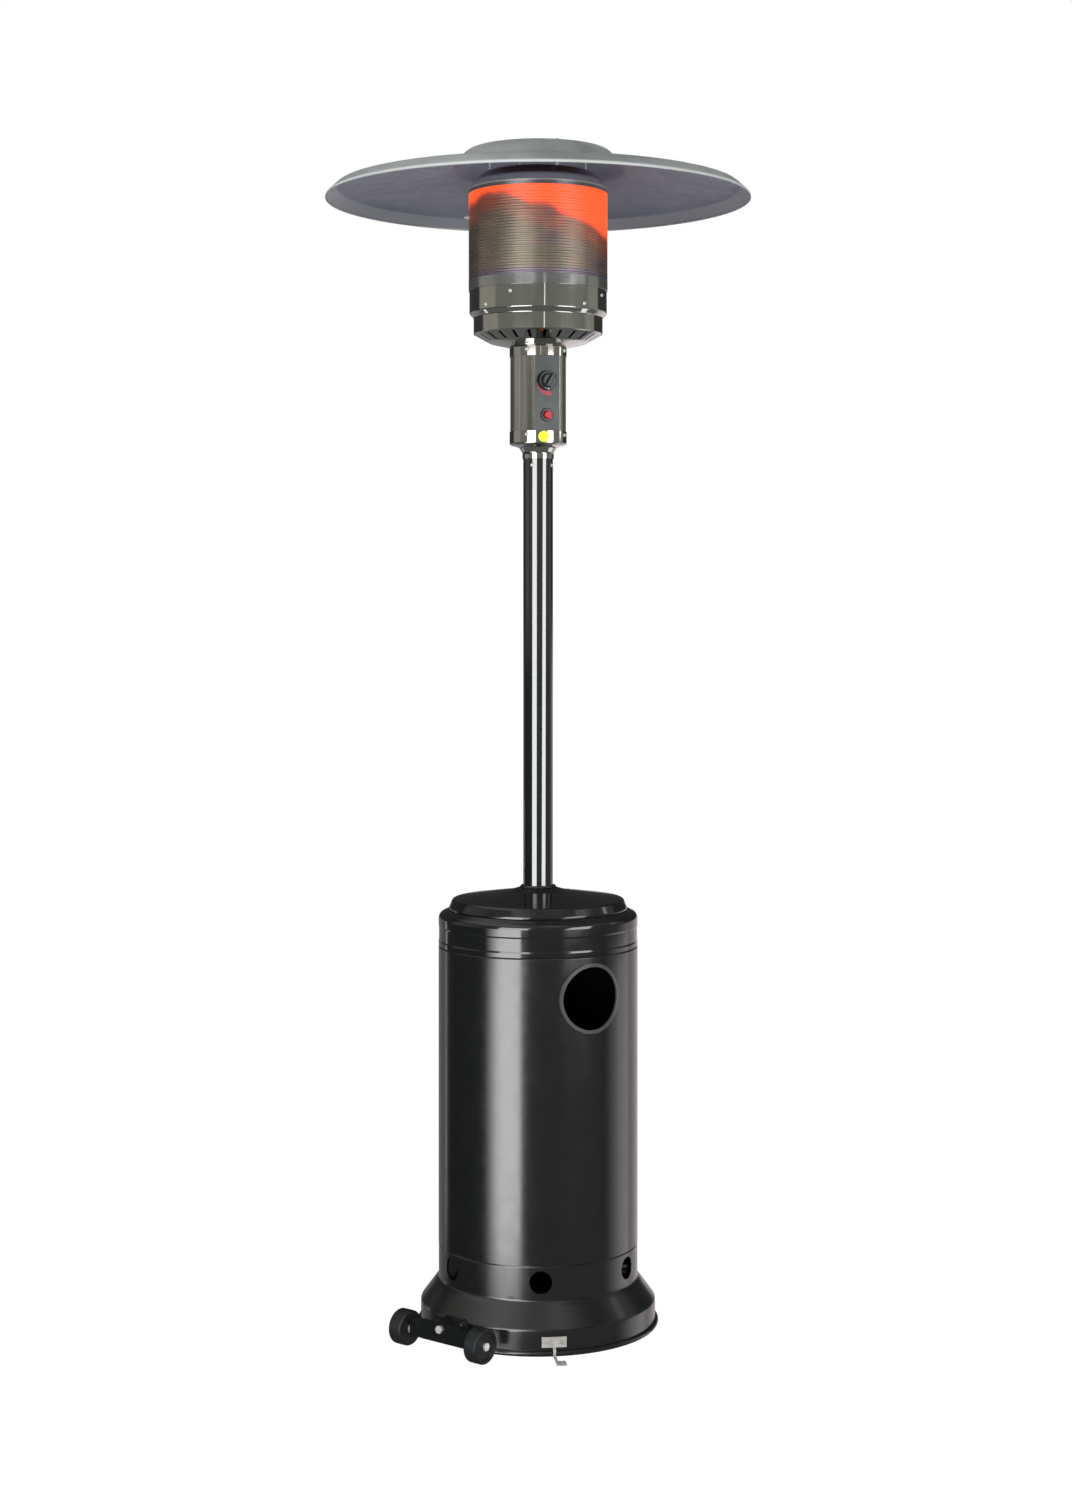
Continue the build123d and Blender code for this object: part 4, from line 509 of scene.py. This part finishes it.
# Reflector: clear grey above; painted shade makes it darker and bluish below, painted light makes the flange
# and the crown over the cap paler, and a painted highlight lightens the rim's edge; each Reach or Height is
# where its colour comes in, in metres
spun = dict(
    rough=(0.42, 0.52), bump=(300, 0.05), metallic=0.35, cloud=9,
    # painted shade: under is the darker, bluish colour of the downward faces
    under=((0.125, 0.13, 0.17), (0.155, 0.16, 0.2)),
    # painted light: the flange and the crown over the cap are coloured paler
    flange=(0.2, 0.215, 0.235), flangeReach=(0.384, 0.388),
    overCap=(0.3, 0.31, 0.38), overCapReach=(0.165, 0.145),
    top=((0.27, 0.29, 0.285), (0.38, 0.4, 0.395)), topSpread=(0.35, 0.65),
    # painted highlight: rim is the light band along the rim's edge on top
    rim=(0.62, 0.64, 0.64), rimHighlightHeight=(2.151, 2.1485), turnsUp=(-0.05, 0.05),
)


def makeReflectorFinish():
    material, tree, shader = newMaterial("spunAluminiumPaintedLight", spun)
    x, y, z = parts(tree, places(tree))
    reach = hypotenuse(tree, x, y)
    cloud = noise(tree, spun["cloud"], grain["detail"])
    # painted shade below, with painted light on the flange and over the cap
    under = mixColour(tree, smooth(tree, cloud, *grain["spread"]), *spun["under"])
    under = mixColour(tree, smooth(tree, reach, *spun["flangeReach"]), under, spun["flange"])
    under = mixColour(tree, smooth(tree, reach, *spun["overCapReach"]), under, spun["overCap"])
    top = mixColour(tree, smooth(tree, cloud, *spun["topSpread"]), *spun["top"])
    # painted highlight along the rim's edge
    top = mixColour(tree, smooth(tree, z, *spun["rimHighlightHeight"]), top, spun["rim"])
    up = smooth(tree, facing(tree)[2], *spun["turnsUp"])
    feed(tree, shader.inputs["Base Color"], mixColour(tree, up, under, top))
    return material


# Emitter mesh: glows above an edge that wanders round the screen, with a weak halo under it; the bottoms of
# its sunk holes are painted shade, dark and glowing less, for the dark inside behind the mesh
glow = dict(
    edge=[  # bearing in degrees, height in metres
        (-180, 2.11), (-110, 2.125), (-80, 2.126), (-64, 2.13), (-46, 2.149), (-24, 2.143), (-9, 2.116),
        (14, 2.109), (26, 2.094), (36, 2.088), (50, 2.083), (68, 2.068), (90, 2.06), (120, 2.075),
        (180, 2.11),
    ],
    floor=2.0, span=0.2,  # heights that the ramp's black and white stand for
    driftScale=16, drift=0.03, edgeFade=(-0.014, 0.012),
    haloScale=22, haloDetail=2.0, haloFade=(-0.055, -0.012), haloLeast=0.4, haloShare=0.24,
    colour=(1.0, 0.088, 0.012), dull=(0.5, 0.02, 0.004), strength=1.5, holeLoss=0.35,
)
meshMetal = dict(
    bump=(500, 0.01), metallic=0.9, rungPitch=0.0055, rungs=(0.5, 0.9),
    dullRough=0.42, rungRough=0.1, rungShare=0.18, rungColour=(0.62, 0.58, 0.54),
    patches=[
        (0.3, (0.36, 0.27, 0.21)), (0.45, (0.26, 0.235, 0.17)), (0.55, (0.34, 0.26, 0.21)),
        (0.7, (0.23, 0.175, 0.2)),
    ],
    patchScale=7, patchStretch=(1, 1, 2),
    bluedBelow=(2.004, 1.992), blued=(0.27, 0.22, 0.28), hot=(0.12, 0.1, 0.1),
    # hole: painted shade, the dark bottoms of the sunk holes stand in for the shadowy inside behind the mesh
    holeReach=(0.1327, 0.1324), hole=(0.02, 0.018, 0.017),
    outside=(-0.02, 0.02), inside=(0.012, 0.011, 0.011),
)


def glowShare(tree, place):
    z = parts(tree, place)[2]
    stops = [(turn, ((height - glow["floor"]) / glow["span"],)) for turn, height in glow["edge"]]
    edge = roundRamp(tree, bearingOf(tree, place), stops, "B_SPLINE")
    edge = addNode(tree, "ShaderNodeRGBToBW", Color=edge).outputs[0]
    edge = maths(tree, "MULTIPLY_ADD", edge, glow["span"], glow["floor"])
    drift = maths(tree, "MULTIPLY_ADD", noise(tree, glow["driftScale"]), glow["drift"], -glow["drift"] / 2)
    height = maths(tree, "SUBTRACT", maths(tree, "ADD", z, drift), edge)
    lit = smooth(tree, height, *glow["edgeFade"])
    cloud = noise(tree, glow["haloScale"], glow["haloDetail"])
    cloud = smooth(tree, cloud, *grain["spread"], glow["haloLeast"])
    halo = maths(tree, "MULTIPLY", smooth(tree, height, *glow["haloFade"]), cloud)
    return maths(tree, "MAXIMUM", lit, maths(tree, "MULTIPLY", halo, glow["haloShare"]))


def makeScreenFinish():
    look = meshMetal
    material, tree, shader = newMaterial("glowingMesh", look)
    place = places(tree)
    x, y, z = parts(tree, place)
    sunk = smooth(tree, hypotenuse(tree, x, y), *look["holeReach"])
    rungs = maths(tree, "SINE", maths(tree, "MULTIPLY", z, fullTurn / look["rungPitch"]))
    rungs = smooth(tree, rungs, *look["rungs"])
    shine = maths(tree, "MULTIPLY_ADD", rungs, look["rungRough"] - look["dullRough"], look["dullRough"])
    feed(tree, shader.inputs["Roughness"], shine)
    outside = smooth(tree, outwardFace(tree), *look["outside"])
    lit = maths(tree, "MULTIPLY", glowShare(tree, place), outside)
    # painted shade: hole bottoms glow less, for the dark inside behind the mesh
    power = maths(tree, "MULTIPLY_ADD", sunk, -glow["holeLoss"] * glow["strength"], glow["strength"])
    feed(tree, shader.inputs["Emission Color"], mixColour(tree, lit, glow["dull"], glow["colour"]))
    feed(tree, shader.inputs["Emission Strength"], maths(tree, "MULTIPLY", lit, power))
    skin = ramp(tree, noise(tree, look["patchScale"], stretch=look["patchStretch"]), look["patches"])
    skin = mixColour(tree, maths(tree, "MULTIPLY", rungs, look["rungShare"]), skin, look["rungColour"])
    skin = mixColour(tree, smooth(tree, z, *look["bluedBelow"]), skin, look["blued"])
    skin = mixColour(tree, lit, skin, look["hot"])
    # painted shade in the sunk holes
    skin = mixColour(tree, sunk, skin, look["hole"])
    feed(tree, shader.inputs["Base Color"], mixColour(tree, outside, look["inside"], skin))
    return material


finishes = {name: makeFinish(name, look) for name, look in looks.items()}
finishes["sooted"] = makeSootedFinish()
finishes["shell"] = makeShellFinish()
finishes["cap"] = makeCapFinish()
finishes["reflector"] = makeReflectorFinish()
finishes["screen"] = makeScreenFinish()

# Which nodes wear which finish
wearing = dict(
    enamelGloss=[
        "base_plate", "strut_1", "strut_2", "strut_3", "post_mount", "wheel_arm", "wheel_bar",
        "shroud_top_ring", "shroud_lid",
    ],
    skirtEnamel=["base_skirt"],
    shell=["shroud_shell"],
    postGloss=["post"],
    zinc=[
        "strut_bolts", "post_clamp_bolts", "arm_rivets", "bar_bolt", "wheel_axle", "axle_nuts",
        "post_top_screws", "housing_screws", "band_screws", "screen_seam_bolt", "reflector_studs",
        "stud_nuts", "spindle_washer", "valve_spindle",
    ],
    galvanised=["ground_anchor_clip", "valve_bracket", "anchor_screws"],
    rawSteel=["head_adapter_sleeve", "burner_pan", "burner_head", "mixing_tube", "pilot_burner"],
    polished=["lower_cup", "upper_collar"],
    sooted=["burner_dish", "burner_band"],
    brushed=["control_housing"],
    cap=["emitter_top_cap"],
    screen=["emitter_screen"],
    reflector=["reflector"],
    panel=["control_panel"],
    knobPlastic=["control_knob", "igniter_bezel"],
    wheelPlastic=["wheel_left", "wheel_right"],
    bushPlastic=["lid_post_bush", "tilt_switch", "piezo_igniter_body"],
    redPlastic=["igniter_button"],
    yellowLabel=["round_sticker"],
    castAlloy=["gas_valve_body"],
    brass=["gas_inlet_fitting", "injector"],
    copper=["burner_supply_pipe", "pilot_pipe", "thermocouple"],
    ceramic=["ignition_electrode"],
    rubber=["ignition_lead"],
)
for finishName, nodeNames in wearing.items():
    for nodeName in nodeNames:
        worn = nodes[nodeName].data.materials
        for slot in range(len(worn)):
            worn[slot] = finishes[finishName]
undressed = sorted(set(nodes) - {name for nodeNames in wearing.values() for name in nodeNames})
print("finishes given, nodes left over:", undressed)


# Modelling helpers; profiles are (radius, height) in mm
mergeWithin = 0.02 * mm


def addPiece(name, shape, finish, body, sharp=35, outward=True):
    bmesh.ops.remove_doubles(shape, verts=shape.verts, dist=mergeWithin)
    if outward:
        bmesh.ops.recalc_face_normals(shape, faces=shape.faces)
    for edge in shape.edges:
        edge.smooth = not edge.is_boundary and edge.calc_face_angle(0.0) < math.radians(sharp)
    for face in shape.faces:
        face.smooth = sharp > 0
    mesh = bpy.data.meshes.new(name)
    shape.to_mesh(mesh)
    shape.free()
    mesh.materials.append(finishes[finish])
    piece = bpy.data.objects.new(name, mesh)
    scene.collection.objects.link(piece)
    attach(piece, body)
    return piece


def addLine(shape, points, closed=False):
    verts = [shape.verts.new(point) for point in points]
    following = verts[1:] + verts[:1] if closed else verts[1:]
    return verts + [shape.edges.new(pair) for pair in zip(verts, following)]


def spinLine(shape, line, steps, angle=fullTurn, centre=(0, 0, 0), axis=(0, 0, 1)):
    spun = bmesh.ops.spin(
        shape, geom=line, cent=centre, axis=axis, angle=angle, steps=steps, use_merge=angle == fullTurn,
    )
    return spun["geom_last"]


def profileAt(azimuth, profile):
    return [around(azimuth, radius * mm, height * mm) for radius, height in profile]


def thicken(piece, sheet):
    wall = piece.modifiers.new("sheet", "SOLIDIFY")
    wall.thickness = sheet * mm
    wall.offset = -1


def vertsOf(geometry):
    return [item for item in geometry if isinstance(item, bmesh.types.BMVert)]


# Emitter screen: a rolled sheet with rows of fine sunk holes, and a plain hem above and below; sizes in mm
screen = dict(
    radius=132.85, columns=198, holeShare=0.5, low=1986.0, high=2156.0, sheet=0.7,
    hemInside=132.0, hemOutside=133.0, hemSegments=144,
    hems=dict(emitter_hem_low=(1969.0, 1988.5), emitter_hem_high=(2154.5, 2161.0)),
)


def punchHexagon(sheet, pitch):
    upright = Matrix.Rotation(math.radians(90), 4, "X")
    corners = bmesh.ops.create_circle(
        sheet, cap_ends=True, segments=6, radius=pitch / math.sqrt(3), matrix=upright,
    )["verts"]
    hexagon = corners[0].link_faces[0]
    if hexagon.normal.y > 0:
        bmesh.ops.reverse_faces(sheet, faces=[hexagon])
    rim = pitch / 2 * (1 - screen["holeShare"])
    bmesh.ops.inset_individual(sheet, faces=[hexagon], thickness=rim, use_even_offset=True)
    bottom = bmesh.ops.extrude_discrete_faces(sheet, faces=[hexagon])["faces"][0]
    bmesh.ops.translate(sheet, verts=bottom.verts, vec=(0, screen["sheet"] * mm, 0))


def addPerforated(name, rows, pitch, riseStep):
    sheet = bmesh.new()
    punchHexagon(sheet, pitch)
    cell = sheet.verts[:] + sheet.edges[:] + sheet.faces[:]
    bmesh.ops.spin(
        sheet, geom=cell, axis=(0, 0, 1), dvec=(pitch, 0, 0), angle=0, steps=screen["columns"] - 1,
        use_duplicate=True,
    )
    firstRow = sheet.verts[:] + sheet.edges[:] + sheet.faces[:]
    for row in reversed(rows):
        geometry = bmesh.ops.duplicate(sheet, geom=firstRow)["geom"] if row != rows[0] else firstRow
        place = (row % 2 * pitch / 2, 0, screen["low"] * mm + row * riseStep)
        bmesh.ops.translate(sheet, verts=vertsOf(geometry), vec=place)
    radius = screen["radius"] * mm
    for vert in sheet.verts:  # roll the flat sheet up
        vert.co = around(math.degrees(vert.co.x / radius), radius - vert.co.y, vert.co.z)
    return addPiece(name, sheet, "screen", "stand", sharp=0, outward=False)


def addHem(name, low, high):
    hem = bmesh.new()
    inside, outside = screen["hemInside"], screen["hemOutside"]
    section = [(inside, low), (outside, low), (outside, high), (inside, high)]
    spinLine(hem, addLine(hem, profileAt(0, section), closed=True), screen["hemSegments"])
    return addPiece(name, hem, "hem", "stand")


def buildScreen():
    pitch = fullTurn * screen["radius"] * mm / screen["columns"]
    riseStep = pitch * math.sqrt(3) / 2
    count = int((screen["high"] - screen["low"]) * mm / riseStep) + 1
    middle = count // 2
    made = [
        addPerforated("emitter_mesh_low", range(middle), pitch, riseStep),
        addPerforated("emitter_mesh_high", range(middle, count), pitch, riseStep),
    ]
    made += [addHem(name, *heights) for name, heights in screen["hems"].items()]
    for piece in made:
        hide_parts("emitter_screen")


buildScreen()
print("screen built")

# Burner dish: spun bowl with a ring of radial air slots in its slope; sizes in mm, slotHalf in degrees
dish = dict(
    profile=[
        (44.6, 1862.0), (54.0, 1862.0), (57.6, 1862.4), (61.0, 1863.2), (90.0, 1869.9), (94.0, 1871.0),
        (97.0, 1872.6), (117.6, 1884.2), (120.0, 1885.7), (121.3, 1886.9), (122.0, 1888.4), (122.2, 1890.0),
        (122.2, 1900.0),
    ],
    slotFrom=6, slots=24, stepsBetween=7, slotHalf=1.45, sheet=1.0,
)


def buildDish():
    skin = bmesh.new()
    pitch = fullTurn / dish["slots"]
    slotAngle = math.radians(2 * dish["slotHalf"])
    line = addLine(skin, profileAt(-dish["slotHalf"], dish["profile"]))
    line = spinLine(skin, line, 1, slotAngle)
    slotEnds = [height * mm for radius, height in dish["profile"][dish["slotFrom"]:dish["slotFrom"] + 2]]
    opening = [face for face in skin.faces if slotEnds[0] < face.calc_center_median().z < slotEnds[1]]
    bmesh.ops.delete(skin, geom=opening, context="FACES_ONLY")
    spinLine(skin, line, dish["stepsBetween"], pitch - slotAngle)
    sector = skin.verts[:] + skin.edges[:] + skin.faces[:]
    others = dish["slots"] - 1
    bmesh.ops.spin(
        skin, geom=sector, axis=(0, 0, 1), angle=pitch * others, steps=others, use_duplicate=True,
    )
    piece = addPiece("burner_dish_skin", skin, "sooted", "stand")
    thicken(piece, dish["sheet"])
    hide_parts("burner_dish")


buildDish()
print("dish built")

# Reflector: spun dome with a soft crown and a turned-down flange; sizes in mm
dome = dict(
    profile=[
        (0.0, 2240.0), (60.0, 2240.0), (112.0, 2240.0), (119.0, 2239.9), (125.0, 2239.4), (130.5, 2238.2),
        (135.5, 2236.2), (140.0, 2233.2), (144.0, 2229.4), (148.0, 2224.6), (152.0, 2218.6), (156.0, 2212.0),
        (160.0, 2206.4), (165.0, 2202.6), (171.0, 2200.2), (180.0, 2198.2),
        (240.0, 2188.7), (300.0, 2179.8), (360.0, 2170.8), (382.0, 2167.4), (385.6, 2166.4), (388.6, 2164.2),
        (404.6, 2149.8), (406.2, 2147.6), (406.5, 2145.6), (406.5, 2144.0),
    ],
    segments=240, sheet=1.0, sharp=50,
)


def buildDome():
    skin = bmesh.new()
    spinLine(skin, addLine(skin, profileAt(0, dome["profile"])), dome["segments"])
    piece = addPiece("reflector_skin", skin, "reflector", "stand", sharp=dome["sharp"])
    thicken(piece, dome["sheet"])
    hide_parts("reflector")


buildDome()
print("reflector built")

# Print on the control panel: a red wedge that widens under the knob, a white dot on the knob's skirt;
# sizes in mm, angles in degrees from the right
printed = dict(
    knobHeight=1795.0, thickness=0.12,
    wedge=dict(start=-166, sweep=96, inner=20.0, narrow=22.0, widens=7.0, steps=24),
    dot=dict(radius=1.1, below=16.0, front=-55.0, corners=16),
)


def addPlate(name, outline, back, finish, body):
    plate = bmesh.new()
    face = plate.faces.new([plate.verts.new((x * mm, back, z * mm)) for x, z in outline])
    front = bmesh.ops.extrude_face_region(plate, geom=[face], use_keep_orig=True)["geom"]
    bmesh.ops.translate(plate, verts=vertsOf(front), vec=(0, -printed["thickness"] * mm, 0))
    return addPiece(name, plate, finish, body)


def onCircle(radius, degrees, middle):
    turn = math.radians(degrees)
    return radius * math.cos(turn), middle + radius * math.sin(turn)


def buildWedge():
    wedge = printed["wedge"]
    shares = [step / wedge["steps"] for step in range(wedge["steps"] + 1)]
    middle = printed["knobHeight"]
    turns = [wedge["start"] + wedge["sweep"] * share for share in shares]
    inner = [onCircle(wedge["inner"], turn, middle) for turn in turns]
    reaches = [wedge["narrow"] + wedge["widens"] * share for share in shares]
    outer = [onCircle(reach, turn, middle) for reach, turn in zip(reaches, turns)]
    plate = addPlate("heat_wedge", inner + outer[::-1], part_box("control_panel")[0].y, "redPrint", "stand")


def buildDot():
    dot = printed["dot"]
    middle = printed["knobHeight"] - dot["below"]
    turns = [360 * corner / dot["corners"] for corner in range(dot["corners"])]
    outline = [onCircle(dot["radius"], turn, middle) for turn in turns]
    addPlate("knob_dot", outline, dot["front"] * mm, "whitePrint", "knob")


buildWedge()
buildDot()
print("print added")

# Mould line round each wheel's tread; sizes in mm
mouldLine = dict(
    azimuth=-60.0, reach=281.0, height=36.0,  # middle of the axle
    along=88.5, radius=31.9, sunk=0.6, proud=0.35, width=0.9, topWidth=0.45, segments=96,
)


def buildMouldLine(name, side, body):
    middle = around(mouldLine["azimuth"], mouldLine["reach"] * mm, mouldLine["height"] * mm)
    axle = around(mouldLine["azimuth"] + 90, 1.0, 0.0)
    low = mouldLine["radius"] - mouldLine["sunk"]
    high = mouldLine["radius"] + mouldLine["proud"]
    foot, top = mouldLine["width"] / 2, mouldLine["topWidth"] / 2
    section = [
        middle + axle * ((side * mouldLine["along"] + across) * mm) + Vector((0, 0, reach * mm))
        for across, reach in ((-foot, low), (foot, low), (top, high), (-top, high))
    ]
    ring = bmesh.new()
    spinLine(ring, addLine(ring, section, closed=True), mouldLine["segments"], centre=middle, axis=axle)
    addPiece(name, ring, "bushPlastic", body)


buildMouldLine("mould_line_left", -1, "wheel_left")
buildMouldLine("mould_line_right", 1, "wheel_right")
print("wheels finished")

# Render settings; the clamp keeps stray sparks of the softboxes out of the polished metal
rendering = dict(samples=128, bounces=8, clamp=1.6)
scene.render.engine = "CYCLES"
scene.cycles.samples = rendering["samples"]
scene.cycles.use_denoising = True
scene.cycles.max_bounces = rendering["bounces"]
scene.cycles.sample_clamp_direct = rendering["clamp"]
scene.cycles.sample_clamp_indirect = rendering["clamp"]
scene.view_settings.view_transform = "Standard"
